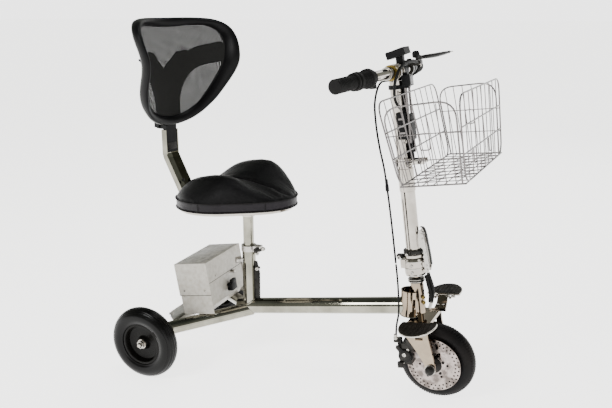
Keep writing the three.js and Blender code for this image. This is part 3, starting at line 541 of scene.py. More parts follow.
def battery_box():
    dress("battery_case", BOX_PAINT, 1.2)
    dress("battery_lid", BOX_PAINT, 1.4)
    middle = (BOX["rear"] + BOX["front"]) / 2
    bm = bmesh.new()
    add_block(bm, CHASSIS, (97, 187, 0.8), (middle, 0, BOX["roof"] + 0.4), 0.3)
    piece("lid_top_border", bm, "frame", TAIL_PAINT)
    bm = bmesh.new()
    add_block(bm, CHASSIS, (88, 176, 0.8), (middle, 0, BOX["roof"] + 1.2), 0.3)
    piece("lid_top_panel", bm, "frame", LID_TOP)
    # Thin near-black strips under the lid's side and end flaps are painted shade: they stand for the shadow
    # in the gap between lid and case.
    bm = bmesh.new()
    for side in (-1, 1):
        edge = (middle, side * (BOX["half"] - 0.5), SIDE_FLAP - 0.8)
        add_block(bm, CHASSIS, (103.4, 1.0, 1.6), edge, 0.3, 1)
    for end in (BOX["rear"] + 0.6, BOX["front"] - 0.6):
        add_block(bm, CHASSIS, (1.2, 190, 1.6), (end, 0, END_FLAP - 0.8), 0.3, 1)
    piece("lid_gap_painted_shade", bm, "frame", GRIP)
    bm = bmesh.new()
    for side in (-1, 1):
        for offset in (-34, 34):
            add_socket_bolt(bm, CHASSIS, (middle + offset, side * 97.1, 82), (0, side, 0), 2.6, 1.4)
    add_socket_bolt(bm, CHASSIS, (BOX["front"], -58, 112), (1, 0, 0), 2.8, 1.4)
    lock = [(0.01, -4), (4.6, -4), (4.6, 5), (3, 7), (0.01, 7)]
    add_turned(bm, CHASSIS @ moved(BOX["front"] + 4, 30, 96) @ turned(90, "Y"), lock, 24)
    piece("box_screws", bm, "frame", STEEL)
    bm = bmesh.new()
    add_block(bm, CHASSIS, (16, 30, 22), (BOX["front"] + 8.4, 5, 60), 3)
    add_block(bm, CHASSIS, (10, 22, 12), (BOX["front"] + 14, 5, 76), 3)
    piece("box_plug", bm, "frame", PLASTIC)


# ---- wheels


BEAD_RADIUS = 60.2


def tyre_profile(radius, half, grooves, depth):
    """Section of a round tyre with grooves round its tread, as [radius, height] pairs."""
    profile = [(BEAD_RADIUS, -17)]
    steps = 56
    for i in range(steps + 1):
        angle = math.radians(-125 + 250 * i / steps)
        height = half * math.sin(angle)
        reach = radius - half + half * math.cos(angle)
        for place, width in grooves:
            reach -= depth * math.exp(-(((height - place) / width) ** 4))
        profile.append((reach, height))
    profile.append((BEAD_RADIUS, 17))
    return profile


def rear_wheel(side, sign):
    place = REAR_WHEEL[side]
    bm = bmesh.new()
    grooves = [(height, 0.9) for height in (-20, -14, -7, 0, 7, 14, 20)]
    add_lathe(bm, place, tyre_profile(100, 25, grooves, 1.6), 128)
    piece(f"tyre_rear_{side}", bm, f"wheel_rear_{side}", REAR_TYRE, [f"rear_tyre_{side}"], 50)

    bm = bmesh.new()
    half_dish = [
        (6.6, -15), (12, -15), (14.5, -13), (16, -7), (20, -2.5), (40, -1.5), (47, -4), (50, -15),
        (52, -18.6), (56, -19.2), (59.6, -17.6),
    ]
    add_lathe(bm, place, half_dish + [(r, -h) for r, h in reversed(half_dish)], 96)
    # These strengthening ribs lie flat inside the web, so they don't show from outside.
    for i in range(10):
        spin = place @ turned(36 * i + 9, "Y")
        for face in (-1, 1):
            outline = [(14, 1.5), (49.5, 1.5), (50, 14), (30, 8.5), (14, 12)]
            add_prism(bm, spin, [(a, face * b) for a, b in outline], -1.1, 1.1, 0.4, axis="Y")
    piece(f"rim_rear_{side}", bm, f"wheel_rear_{side}", RIM_PLASTIC, [f"rear_rim_{side}"], 40)
    bm = bmesh.new()
    nut = [(0.01, 30), (5, 29.4), (7, 27), (7.4, 23.4), (0.01, 23.4)]
    add_lathe(bm, place, [(r, sign * h) for r, h in nut], 6)
    add_lathe(bm, place, [(6.4, sign * 14.3), (13, sign * 14.3), (13, sign * 15.6), (6.4, sign * 15.6)], 36)
    piece(f"axle_cap_{side}", bm, "frame", CHROME)


TREAD_BARS = 88


def front_wheel():
    place = FRONT_WHEEL
    bm = bmesh.new()
    add_lathe(bm, place, tyre_profile(99.6, 24, [(-5, 0.7), (5, 0.7)], 1.0), 128)
    for i in range(TREAD_BARS):
        spin = place @ turned(360 * i / TREAD_BARS, "Y")
        for height, reach, lean, tip in ((-12, 96.3, -20, -26), (12, 96.3, 20, 26)):
            bar = spin @ moved(reach, height, 0) @ turned(lean, "X") @ turned(tip, "Z")
            add_block(bm, bar, (1.6, 11, 1.9), (0.1, 0, 0), 0.4, 1)
    piece("tyre_front", bm, "wheel_front", FRONT_TYRE, ["front_tyre"], 50)

    bm = bmesh.new()
    shell = [
        (7.2, -39), (20, -39), (21, -36), (22, -24), (40, -21.5), (46, -20), (50, -19), (54, -20),
        (57, -20.4), (59.6, -18), (59.6, 18), (57, 20.4), (54, 20), (50, 19), (46, 20.5), (40, 23), (23, 25),
        (21, 30), (7.2, 30),
    ]
    add_lathe(bm, place, shell, 96)
    # The hub's ribs lie flat inside its shell in the same way.
    for i in range(24):
        spin = place @ turned(15 * i, "Y")
        add_prism(bm, spin, [(24, 22), (46, 19), (46, 23), (25, 26.5)], -0.9, 0.9, 0.3, axis="Y")
    piece("hub_motor_shell", bm, "wheel_front", BLACK, ["hub_motor"], 40)
    brake_disc(place)


def brake_disc(place):
    """A plate with two rows of small holes and one of six larger ones, all cut through it."""
    bm = bmesh.new()
    plate = [(21.5, -1), (69.2, -1), (70, -0.4), (70, 0.4), (69.2, 1), (21.5, 1)]
    add_lathe(bm, place @ moved(0, -34, 0), plate, 96)
    disc = piece("brake_disc_plate", bm, "wheel_front", DISC, ["brake_disc"], 30)
    cutter = bmesh.new()
    for row, (reach, count, radius) in enumerate(((65.5, 34, 2.3), (57, 34, 2.3), (36, 6, 3.4))):
        for i in range(count):
            angle = TURN * (i + 0.5 * (row % 2)) / count
            centre = (reach * math.cos(angle), -34, reach * math.sin(angle))
            ring = around(centre, (0, 1, 0), radius, 12)
            low = [place @ (p - Vector((0, 4, 0))) for p in ring]
            high = [place @ (p + Vector((0, 4, 0))) for p in ring]
            add_rings(cutter, [low, high])
    cut_away(disc, cutter)
    turns = [TURN * (i + 0.25) / 5 for i in range(5)]
    bolts = [((27 * math.cos(a), -35, 27 * math.sin(a)), (0, -1, 0), 3.6, 2.2) for a in turns]
    socket_bolts("disc_bolts", "wheel_front", BLACK, place, bolts)


def cut_away(thing, cutter_bmesh):
    """Subtracts a closed bmesh from a piece for good."""
    bmesh.ops.recalc_face_normals(cutter_bmesh, faces=cutter_bmesh.faces)
    mesh = bpy.data.meshes.new("cutter")
    cutter_bmesh.to_mesh(mesh)
    cutter_bmesh.free()
    cutter = bpy.data.objects.new("cutter", mesh)
    bpy.context.scene.collection.objects.link(cutter)
    modifier = thing.modifiers.new("cut", "BOOLEAN")
    modifier.operation = "DIFFERENCE"
    modifier.solver = "EXACT"
    modifier.object = cutter
    apply_modifiers(thing)
    bpy.data.objects.remove(cutter)


def apply_modifiers(thing):
    graph = bpy.context.evaluated_depsgraph_get()
    mesh = bpy.data.meshes.new_from_object(thing.evaluated_get(graph))
    thing.modifiers.clear()
    old = thing.data
    thing.data = mesh
    mesh.name = old.name
    bpy.data.meshes.remove(old)


# ---- fork, calliper and footrests


def fork():
    for node in ("fork_crown", "fork_leg_right", "fork_leg_left"):
        dress(node, WARM_CHROME, 0.8)
    dress("stem_base", CHROME, 0.8)
    for node in ("front_axle", "caliper_body"):
        dress(node, BLACK, 0.6)
    dress("caliper_arm", BLACK, 0.4)
    bm = bmesh.new()
    dome = [(0.01, 82), (6, 81), (10.4, 77), (12, 71), (12, 66.6), (0.01, 66.6)]
    for side in (-1, 1):
        add_lathe(bm, FRONT_WHEEL, [(r, side * h) for r, h in dome], 32)
    piece("axle_dome_nuts", bm, "fork", BLACK)
    bm = bmesh.new()
    for side in (-1, 1):
        inner, outer = side * 64.2, side * 66.4
        add_lathe(bm, FRONT_WHEEL, [(6.4, inner), (14, inner), (14, outer), (6.4, outer)], 40)
        for f in (27, 40):
            add_socket_bolt(bm, STEER, (f, side * 76, 27), (0, side * 0.3, 1), 3.6, 3)
        for f in (30, -6):
            add_socket_bolt(bm, STEER, (f, side * 64.2, 2), (0, side, 0), 4, 2.6)
    piece("fork_bolts", bm, "fork", STEEL)
    head_bolts = [((16, -10, w), (0.7, -0.7, 0), 4.5, 5) for w in (66, 80)]
    socket_bolts("head_bolts", "frame", AMBER, HEAD, head_bolts)
    calliper_details()
    for side, sign in SIDES:
        footrest(side, sign)


def calliper_details():
    bm = bmesh.new()
    round_body = [(0.01, -50)]
    for i in range(6):
        radius, depth = 19.4 - 0.5 * i, -50 - 1.6 * i
        round_body += [(radius, depth), (radius, depth - 0.8), (17.8 - 0.5 * i, depth - 0.9)]
    round_body += [(14, -59.6), (0.01, -59.6)]
    add_lathe(bm, STEER @ moved(-31, 0, -66), round_body, 40)
    add_block(bm, STEER, (14, 10, 16), (-44, -60, -88), 2)
    piece("calliper_ribs", bm, "fork", BLACK)
    socket_bolts("calliper_arm_bolt", "caliper_arm", STEEL, STEER, [((-31, -60.2, -60), (0, -1, 0), 5, 3)])
    bm = bmesh.new()
    barrel = [(3.1, 0), (6, 0), (6, 5), (4.6, 6), (4.6, 13), (3.1, 14)]
    add_turned(bm, STEER @ moved(-50, -58, -19), barrel, 24)
    for w, f in ((-84, -38), (-48, -22)):
        add_socket_bolt(bm, STEER, (f, -53, w), (0, -1, 0), 3.6, 3)
    piece("calliper_adjuster", bm, "fork", STEEL)


FOOT_HINGE, FOOT_REACH, FOOT_MIDDLE = 103.4, 78, 34


def footrest_outline(sign, grow=0.0):
    """Half-round plate with its straight side at the hinge."""
    run = [(-10 - grow, FOOT_HINGE), (FOOT_REACH + grow, FOOT_HINGE)]
    for i in range(1, 24):
        angle = math.pi * i / 24
        out = FOOT_HINGE + (FOOT_REACH + grow) * math.sin(angle) ** 0.8
        run.append((FOOT_MIDDLE + (45.5 + grow) * math.cos(angle), out))
    return [(f, sign * l) for f, l in run]


def footrest(side, sign):
    bm = bmesh.new()
    add_prism(bm, STEER, footrest_outline(sign, -1.6), 47, 50.2, 0.9, 3)
    for f in range(2, 72, 10):
        reach = FOOT_REACH * math.sqrt(max(0, 1 - ((f - FOOT_MIDDLE) / 46) ** 2)) - 8
        if reach > 20:
            add_wire(bm, STEER, [(f, sign * 110, 50.2), (f, sign * (FOOT_HINGE + reach), 50.2)], 1.0, 6)
    piece(f"footrest_pad_{side}", bm, f"footrest_{side}", FOOT, [f"footrest_{side}"])
    bm = bmesh.new()
    add_prism(bm, STEER, footrest_outline(sign), 44.5, 47, 0.7, 2)
    rim = footrest_outline(sign, -0.4)
    add_wire(bm, STEER, [(f, l, 47.4) for f, l in rim[1:] + rim[:1]], 1.5, 8)
    add_wire(bm, STEER, [(-8, sign * 103.6, 47.5), (76, sign * 103.6, 47.5)], 2.4, 12)
    piece(f"footrest_plate_{side}", bm, f"footrest_{side}", CHROME)
    bm = bmesh.new()
    for f in (6, 20, 48, 62):
        add_wire(bm, STEER, [(f - 5, sign * 101, 43.6), (f + 5, sign * 101, 43.6)], 4.4, 14)
    for f in (14, 54):
        add_socket_bolt(bm, STEER, (f, sign * 96, 40), (0, sign, 0), 3.6, 4)
    piece(f"footrest_hinge_{side}", bm, "fork", STEEL)


# ---- stem, latch and column


def stem():
    dress("stem_tube", CHROME, 0.5)
    bm = bmesh.new()
    collar = [(18.7, 196.4), (24.6, 196.4), (25.6, 198), (25.6, 205), (24, 206.6), (18.7, 206.6)]
    add_turned(bm, STEER, collar, 56)
    add_block(bm, STEER, (15, 13, 9), (-6, -29, 201.4), 2)
    add_block(bm, STEER, (16, 14, 11), (-31, -16, 191.5), 2)
    add_wire(bm, STEER, [(-30, -30, 191), (-30, -14, 191)], 3.6, 14)
    piece("stem_collar", bm, "stem", BLACK)
    collar_bolts = [((-30, -27.5, 191), (0, -1, 0), 5, 4), ((-6, -35.6, 201.4), (0, -1, 0), 3.6, 3)]
    socket_bolts("stem_collar_bolt", "stem", STEEL, STEER, collar_bolts)
    bm = bmesh.new()
    for low, high, radius in ((139, 142, 25.5), (158, 160.5, 28.2), (176, 178, 27.6)):
        add_turned(bm, STEER, [(radius - 2, low), (radius, low), (radius, high), (radius - 2, high)], 56)
    for w in (150, 168):
        add_socket_bolt(bm, STEER, (0, -26.6, w), (0, -1, 0), 4.2, 3)
    piece("stem_base_rings", bm, "fork", STEEL)
    bm = bmesh.new()
    for low, high in ((121, 122.5), (127, 128)):
        add_turned(bm, HEAD, [(18.7, low), (21.4, low), (21.4, high), (18.7, high)], 48)
    piece("headset_rings", bm, "frame", STEEL)
    latch()


def latch():
    plate = [
        (32, 147), (38, 147), (41, 158), (40, 190), (36, 226), (33, 250), (27, 260), (21.5, 256), (20, 240),
        (21, 216), (29.6, 208), (30.4, 186), (28.8, 160),
    ]
    bm = bmesh.new()
    for side in (-1, 1):
        add_prism(bm, STEER, plate, side * 11 - 1.4, side * 11 + 1.4, 0.5, axis="Y")
    for f, w in ((34, 154), (28, 247)):
        add_wire(bm, STEER, [(f, -14.5, w), (f, 14.5, w)], 3.6, 18)
    for f, w in ((35, 166), (37, 200), (30, 236)):
        add_socket_bolt(bm, STEER, (f, -12.4, w), (0, -1, 0), 2.6, 1.6)
    piece("latch_plates", bm, "stem_latch", STEEL, ["stem_latch"])
    bm = bmesh.new()
    spine = [(24, 264), (31, 262), (36, 250), (39, 226), (42.5, 192), (44, 166)]
    section = ((-1, -6), (1, -6), (2, -3.6), (2, 3.6), (1, 6), (-1, 6))
    rings = []
    for centre in curve_points([(f, 0, w) for f, w in spine], 6):
        rings.append([STEER @ Vector((centre.x + depth, offset, centre.z)) for depth, offset in section])
    add_rings(bm, rings)
    piece("latch_handle", bm, "stem_latch", BLACK)


# ---- handlebar and controls

BAR_W = 651
BORE = 13.1                      # radius of the holes that the bar passes through


def on_bar(across):
    """A point on the bar's middle line, which is straight in the middle and swept back at its ends."""
    reach = max(0.0, abs(across) - 42)
    return Vector((-0.155 * reach, across, BAR_W - 0.02 * reach))


def bar_frame(across):
    """A CAD frame on the bar whose Y axis runs along it."""
    step = on_bar(across + 0.5) - on_bar(across - 0.5)
    turn = Vector((0, 1, 0)).rotation_difference(step).to_matrix().to_4x4()
    return STEER @ moved(*on_bar(across)) @ turn


def bar_sleeve(bm, across, profile, sides=56):
    """Turns [radius, distance along the bar] pairs about the bar."""
    add_lathe(bm, bar_frame(across), profile, sides)


def handlebar():
    dress("handlebar", CHROME, 0.5)
    dress("bar_clamp", AMBER, 0.6)
    bm = bmesh.new()
    for middle, radius, half in ((-55, 15.6, 5), (-11.5, 19, 2.5), (13, 18, 2.5)):
        bar_sleeve(bm, middle, [(BORE, -half), (radius, -half), (radius, half), (BORE, half)])
    piece("bar_rings", bm, "stem", STEEL)
    grips()
    throttle()
    switch_and_lever()
    display()
    headlight()


def ribbed(radius, low, high, ribs, depth):
    """Closed sleeve profile with ribs round it."""
    run = [(BORE, low)]
    steps = ribs * 8
    for i in range(steps + 1):
        share = i / steps
        wave = 0.5 - 0.5 * math.cos(TURN * ribs * share)
        run.append((radius - depth * (1 - wave), low + (high - low) * share))
    run.append((BORE, high))
    return run


def grips():
    for side, sign in SIDES:
        bm = bmesh.new()
        bar_sleeve(bm, sign * 242, ribbed(16.4, -36, 34, 14, 1.0), 64)
        bar_sleeve(bm, sign * 205, [(BORE, -4), (18, -4), (20, -2), (20, 2), (18, 4), (BORE, 4)])
        cap = [(0.01, -3), (15.5, -3), (16.6, -1), (16.4, 2), (13, 3.6), (0.01, 3.6)]
        bar_sleeve(bm, sign * 279, cap)
        piece(f"grip_sleeve_{side}", bm, "stem", GRIP, [f"grip_{side}"])


def throttle():
    bm = bmesh.new()
    bar_sleeve(bm, -170, ribbed(19.6, -18, 18, 8, 1.6), 72)
    bar_sleeve(bm, -192.5, [(BORE, -6), (19, -6), (21, -4), (21, 4), (19, 6), (BORE, 6)])
    bar_sleeve(bm, -146, [(BORE, -8), (20, -8), (22.6, -6), (23, 3), (21, 8), (BORE, 8)])
    piece("throttle_grip", bm, "throttle", GRIP, ["throttle"])
    bm = bmesh.new()
    bar_sleeve(bm, -133, [(BORE, -4), (17.5, -4), (18.5, -2), (18.5, 3), (BORE, 4)])
    add_block(bm, bar_frame(-133), (16, 9, 14), (4, 0, -18), 2)
    piece("throttle_housing", bm, "stem", PLASTIC)


def switch_and_lever():
    dress("lever_bracket", BLACK, 0.8)
    dress("switch_pod", PLASTIC, 1.2)
    dress("horn_button", GLOSS, 0.5)
    bm = bmesh.new()
    bends = [(20, 122, 674), (34, 140, 674.5), (46, 178, 674), (56, 222, 675), (63, 256, 676)]

    def blade(share):
        return 3.6 + 2.2 * math.sin(math.pi * min(1, share * 1.15)) ** 0.7

    add_wire(bm, STEER, curve_points(bends, 8), blade, 16)
    pivot = [(0.01, 668.6), (8, 668.6), (8.6, 670), (8.6, 678.5), (7, 680), (0.01, 680)]
    add_turned(bm, STEER @ moved(20, 122, 0), pivot, 32)
    piece("lever_blade", bm, "brake_lever", BLACK, ["brake_lever"])
    bm = bmesh.new()
    add_wire(bm, STEER, around((65, 262, 676), (0, 0, 1), 5.4, 24), 1.3, 8, closed=True)
    add_socket_bolt(bm, STEER, (20, 122, 680), (0, 0, 1), 4.5, 2.4)
    piece("lever_end_ring", bm, "brake_lever", STEEL)
    bm = bmesh.new()
    add_wire(bm, STEER, [(26, 108, 655), (24, 112, 657.5), (21, 117, 660)], 4.4, 14)
    add_socket_bolt(bm, STEER, (10, 122, 668), (0, 0, 1), 4, 2.4)
    piece("lever_adjuster", bm, "stem", STEEL)


DISPLAY = STEER @ moved(8, 4, 694) @ turned(-13, "Y")


def display():
    dress("display", PLASTIC, 1.5)
    bm = bmesh.new()
    add_block(bm, DISPLAY, (38, 33, 1.0), (0, 0, 8.8), 0.4)
    piece("display_window", bm, "stem", LAMP)
    bm = bmesh.new()
    for y in (-14, -4.6, 4.8, 14.2):
        add_block(bm, DISPLAY, (3.6, 7, 1.6), (-20.5, y, 9), 0.6)
    bell = [(0.01, -9), (7, -9), (9.4, -5), (9.5, 3), (7, 8), (0.01, 9)]
    add_turned(bm, STEER @ moved(18, 108, 684), bell, 48)
    bar_sleeve(bm, 32, [(BORE, -15), (17, -15), (18.4, -12), (18.4, 13), (16, 16), (BORE, 16)])
    add_block(bm, STEER, (5, 18, 58), (21.2, -6, 583), 1.6)
    piece("display_buttons_and_bell", bm, "stem", PLASTIC)


def headlight():
    dress("headlight", PLASTIC, 2)
    bm = bmesh.new()
    add_block(bm, STEER, (1.4, 22, 21), (41.4, -12, 629), 0.6)
    piece("headlight_lens", bm, "stem", LAMP)


# ---- cables


def cables():
    for node in ("brake_cable_upper", "brake_cable_lower", "harness"):
        dress(node, GRIP, 0, 60)
    bm = bmesh.new()
    for w, radius in ((378, 4.6), (392, 3.8)):
        sleeve = [(2.9, w - 8), (radius, w - 7), (radius, w + 7), (2.9, w + 8)]
        add_turned(bm, STEER @ moved(-30, -60, 0), sleeve, 20)
    piece("cable_joint", bm, "stem", PLASTIC)
    bm = bmesh.new()
    strands = (
        ((30, -11, 140), (34, -13, 118), (37, -12, 92), (33, -9, 68)),
        ((33, -4, 140), (39, -5, 116), (42, -6, 90), (37, -7, 66)),
        ((31, 4, 140), (38, 4, 116), (41, 3, 94), (35, 0, 68)),
        ((29, 11, 140), (34, 11, 118), (37, 10, 96), (32, 6, 70)),
    )
    for strand in strands:
        add_wire(bm, STEER, curve_points(strand, 8), 4.2, 12)
    piece("column_leads", bm, "fork", GRIP)
    bm = bmesh.new()
    add_wire(bm, STEER, curve_points([(37, -6, 84), (36, -7, 66), (31, -8, 52)], 6), 4.4, 14)
    piece("lead_connector", bm, "fork", STEEL)


# ---- basket


BASKET_LOW, BASKET_HIGH = 410, 600
# Each pair is a measure at the basket's floor and at its rim.
REAR, FRONT = (56, 27), (197, 200)
REAR_HALF, FRONT_HALF = (200, 216), (182, 194)


def basket_point(lengthwise, crosswise, share_up):
    """A point of the basket: lengthwise 0 is the rear and 1 the front, crosswise -1 is right and 1 left."""

    def at(measure):
        return measure[0] + (measure[1] - measure[0]) * share_up

    forward = at(REAR) + (at(FRONT) - at(REAR)) * lengthwise
    half = at(REAR_HALF) + (at(FRONT_HALF) - at(REAR_HALF)) * lengthwise
    return Vector((forward, half * crosswise, at((BASKET_LOW, BASKET_HIGH))))


def hoop(corner_points, corner):
    """A run through corner points, each inner corner rounded."""
    run = [Vector(corner_points[0])]
    for i in range(1, len(corner_points) - 1):
        before, here, after = (Vector(corner_points[i + k]) for k in (-1, 0, 1))
        reach = min((here - before).length, (after - here).length, 70) * corner * 2
        start = here + (before - here).normalized() * reach
        end = here + (after - here).normalized() * reach
        for k in range(7):
            t = k / 6
            run.append((1 - t) ** 2 * start + 2 * t * (1 - t) * here + t**2 * end)
    run.append(Vector(corner_points[-1]))
    return run


THICK, THIN = 1.9, 1.15


def basket():
    bm = bmesh.new()
    basket_walls(bm)
    basket_floor(bm)
    piece("basket_wires", bm, "stem", WIRE, ["basket"], 60)
    basket_hooks()
    basket_carrier()


def basket_walls(bm):
    wall = basket_point
    # Rear and front walls: a rounded hoop each, with nine uprights and two level wires.
    for lengthwise in (0, 1):
        corners = [wall(lengthwise, c, t) for c, t in ((0, 0), (-1, 0), (-1, 1), (1, 1), (1, 0), (0, 0))]
        add_wire(bm, STEER, hoop(corners, 0.26), THICK, 10)
        for i in range(1, 10):
            crosswise = -1 + 2 * i / 10
            add_wire(bm, STEER, [wall(lengthwise, crosswise, 0), wall(lengthwise, crosswise, 1)], THIN, 8)
        for share_up in (0.33, 0.64):
            add_wire(bm, STEER, [wall(lengthwise, -1, share_up), wall(lengthwise, 1, share_up)], THICK, 8)
    # Side walls: a rounded hoop each that stands on the floor, with six uprights and three thin level wires.
    for crosswise in (-1, 1):
        stops = ((0.03, 0.0), (0.03, 0.93), (0.95, 0.95), (0.95, 0.0))
        add_wire(bm, STEER, hoop([wall(p, crosswise, t) for p, t in stops], 0.3), THICK, 10)
        for i in range(1, 7):
            top = 0.93 if 1 < i < 6 else 0.9
            add_wire(bm, STEER, [wall(i / 7, crosswise, 0), wall(i / 7, crosswise, top)], THIN, 8)
        for share_up in (0.0, 0.3, 0.6):
            add_wire(bm, STEER, [wall(0, crosswise, share_up), wall(1, crosswise, share_up)], THIN, 8)


def basket_floor(bm):
    rim = [basket_point(*corner, 0) for corner in ((0, -1), (1, -1), (1, 1), (0, 1))]
    for i in range(4):
        add_wire(bm, STEER, [rim[i], rim[(i + 1) % 4]], THICK, 10)
    for i in range(1, 10):
        crosswise = -1 + 2 * i / 10
        add_wire(bm, STEER, [basket_point(0, crosswise, 0), basket_point(1, crosswise, 0)], THIN, 8)
    for i in range(1, 6):
        add_wire(bm, STEER, [basket_point(i / 6, -1, 0), basket_point(i / 6, 1, 0)], THIN, 8)
    lift = Vector((0, 0, 2.4))
    for i in range(-3, 4):
        start, end = basket_point(0, (i - 1) / 4.2, 0), basket_point(1, (i + 1) / 4.2, 0)
        add_wire(bm, STEER, [start + lift, end + lift], THIN, 8)


def basket_hooks():
    """The looped catches that hold the folding walls together."""
    bm = bmesh.new()
    outline = ((-11, 0), (-11, -26), (-7, -31), (7, -31), (11, -26), (11, 0), (7, 4), (-7, 4))
    for lengthwise, crosswise, share_up in ((0.5, -1, 0.58), (0.5, 1, 0.58), (1, -0.4, 0.3), (1, 0.4, 0.3)):
        here = basket_point(lengthwise, crosswise, share_up)
        on_side = lengthwise == 0.5
        inward = Vector((0, -math.copysign(3.4, crosswise), 0)) if on_side else Vector((-3.4, 0, 0))
        loop = [here + inward + (Vector((a, 0, b)) if on_side else Vector((0, a, b))) for a, b in outline]
        add_wire(bm, STEER, curve_points(loop, 4, closed=True), 1.5, 8, closed=True)
    piece("basket_catches", bm, "stem", WIRE, smooth=60)


def basket_carrier():
    """The slotted plate, strap, rods and clamp on the front of the stem that carry the basket."""
    bm = bmesh.new()
    add_block(bm, STEER, (12, 36, 64), (25.5, 0, 516), 3, 3)
    add_block(bm, STEER, (26, 5, 66), (11, -24.5, 522), 2)
    add_block(bm, STEER, (4.5, 22, 62), (21.4, 0, 464), 1.2)
    add_wire(bm, STEER, [(24, -17, 476), (25, -12, 440)], 5, 12)
    piece("carrier_box", bm, "stem", PLASTIC, ["basket_mount"])
    bm = bmesh.new()
    for w in (505, 522, 539):
        add_block(bm, STEER, (15, 1.4, 5), (11, -27.2, w), 0.4, 1)
    for f, l, low, high in ((27, -20, 480, 612), (25, 12, 452, 612)):
        add_wire(bm, STEER, [(f, l, low), (f, l, high)], 3.0, 14)
    piece("carrier_rods", bm, "stem", WIRE)
    bm = bmesh.new()
    add_turned(bm, STEER, [(18.7, 357), (20.2, 358), (20.2, 414), (18.7, 415)], 56)
    add_turned(bm, STEER, [(18.7, 422), (23, 422), (23, 440), (18.7, 440)], 56)
    add_block(bm, STEER, (22, 30, 7), (27, 0, 431), 1.4)
    for side in (-1, 1):
        add_block(bm, STEER, (34, 5, 12), (38, side * 14, 431), 1.2)
    piece("carrier_clamps", bm, "stem", CHROME)
    bm = bmesh.new()
    for f, out in ((16, 19.5), (44, 16.6)):
        for side in (-1, 1):
            add_bolt(bm, STEER, (f, side * out, 431), (0, side, 0), 4.6, 6)
    piece("carrier_bolts", bm, "stem", BLACK)


# ---- seat

# Distance forward and half width of the saddle's outline, from its rear end.
SADDLE_HALF = (
    (-205, 0), (-196, 58), (-168, 112), (-112, 148), (-54, 157), (0, 147), (42, 124), (82, 98), (118, 70),
    (145, 38), (155, 0),
)
SADDLE_CENTRE = -50
SEAT_BASE, SEAT_SLOPE = 462, 0.07
SEAM_HEIGHT = 27.5


def mirrored(half):
    """Closes a half outline with its mirror image. The first and last points lie on the middle line."""
    return list(half) + [(a, -b) for a, b in reversed(half[1:-1])]


def smooth_outline(corners, per_span):
    """A closed curve through [a, b] corners."""
    return [(p.x, p.y) for p in curve_points([(a, b, 0) for a, b in corners], per_span, closed=True)]


def seat_floor(u):
    """Height of the cushion's underside."""
    return SEAT_BASE + SEAT_SLOPE * u


def shrunk(u, share):
    """The saddle outline's distance forward, drawn in towards the saddle's centre."""
    return SADDLE_CENTRE + (u - SADDLE_CENTRE) * share


def saddle_top(u, v, share):
    """Height of the saddle over its own underside."""
    lobe = math.exp(-(((abs(v) - 92) / 58) ** 2) - (u / (200 if u < 0 else 100)) ** 2)
    tail = 20 * smoothstep((-u - 110) / 90)
    crown = math.sqrt(max(0, 1 - share**6.5))
    return 27 + crown * (29 + 50 * lobe - tail + 0.09 * v)


def smoothstep(t):
    t = min(1, max(0, t))
    return t * t * (3 - 2 * t)


def seat():
    outline = smooth_outline(mirrored(SADDLE_HALF), 6)

    def ring(share, height, pull=1.0):
        run = []
        for u, v in outline:
            a = SADDLE_CENTRE + (u - SADDLE_CENTRE) * share * pull
            b = v * share * pull
            run.append(SEAT @ Vector((a, b, seat_floor(a) + height(a, b))))
        return run

    rings = [ring(0.03, lambda a, b: 0.6), ring(0.96, lambda a, b: 0.6), ring(0.99, lambda a, b: 4)]
    for h in (10, 16, 22, 27):
        rings.append(ring(1.0, lambda a, b, h=h: h, 1.0 - 0.012 * math.sin(math.pi * (h - 4) / 24)))
    for share in (0.985, 0.95, 0.9, 0.82, 0.72, 0.6, 0.47, 0.34, 0.2, 0.03):
        rings.append(ring(share, lambda a, b, s=share: saddle_top(a, b, s)))
    bm = bmesh.new()
    add_rings(bm, rings)
    cushion = piece("seat_cushion_cover", bm, "seat", (VINYL, SKIRT_PAINTED_SHEEN), ["seat_cushion"], 180)
    settle(cushion)
    # Faces below the top seam take the skirt material, whose lighter tone is a painted sheen.
    for face in cushion.data.polygons:
        local = SEAT.inverted() @ face.center
        face.material_index = int(local.z < seat_floor(local.x) + SEAM_HEIGHT)
    seat_seams(outline)
    seat_pan()


SETTLE_CAP = 0.009
STARTS_SMALLER = 0.003           # the cover starts this far inside its final shape and is blown out again
CLOTH_STEPS = 20


def settle(cushion):
    """A short cloth run with air inside gives the cover its creases. The foam holds it close."""
    remesh = cushion.modifiers.new("even", "REMESH")
    remesh.mode = "VOXEL"
    remesh.voxel_size = 0.005
    apply_modifiers(cushion)
    held = cushion.vertex_groups.new(name="held")
    inverse = SEAT.inverted()
    for vertex in cushion.data.vertices:
        local = inverse @ vertex.co
        if local.z < seat_floor(local.x) + SEAM_HEIGHT + 1:
            held.add([vertex.index], 1.0, "REPLACE")
        else:
            vertex.co -= vertex.normal * STARTS_SMALLER
    rest = [v.co.copy() for v in cushion.data.vertices]
    cloth = cushion.modifiers.new("cloth", "CLOTH")
    settings = cloth.settings
    settings.use_pressure = True
    settings.uniform_pressure_force = 4
    settings.mass = 0.3
    settings.tension_stiffness = 25
    settings.compression_stiffness = 8
    settings.bending_stiffness = 0.4
    settings.vertex_group_mass = "held"
    settings.effector_weights.gravity = 0
    scene = bpy.context.scene
    for step in range(1, CLOTH_STEPS + 1):
        scene.frame_set(step)
    apply_modifiers(cushion)
    scene.frame_set(1)
    for vertex, start in zip(cushion.data.vertices, rest):
        move = vertex.co - start
        if move.length > SETTLE_CAP:
            vertex.co = start + move.normalized() * SETTLE_CAP
    smoother = cushion.modifiers.new("finer", "SUBSURF")
    smoother.levels = smoother.render_levels = 1
    apply_modifiers(cushion)
    cushion.data.shade_smooth()


SKIRT_SEAMS = (26, 49, 71, 94)


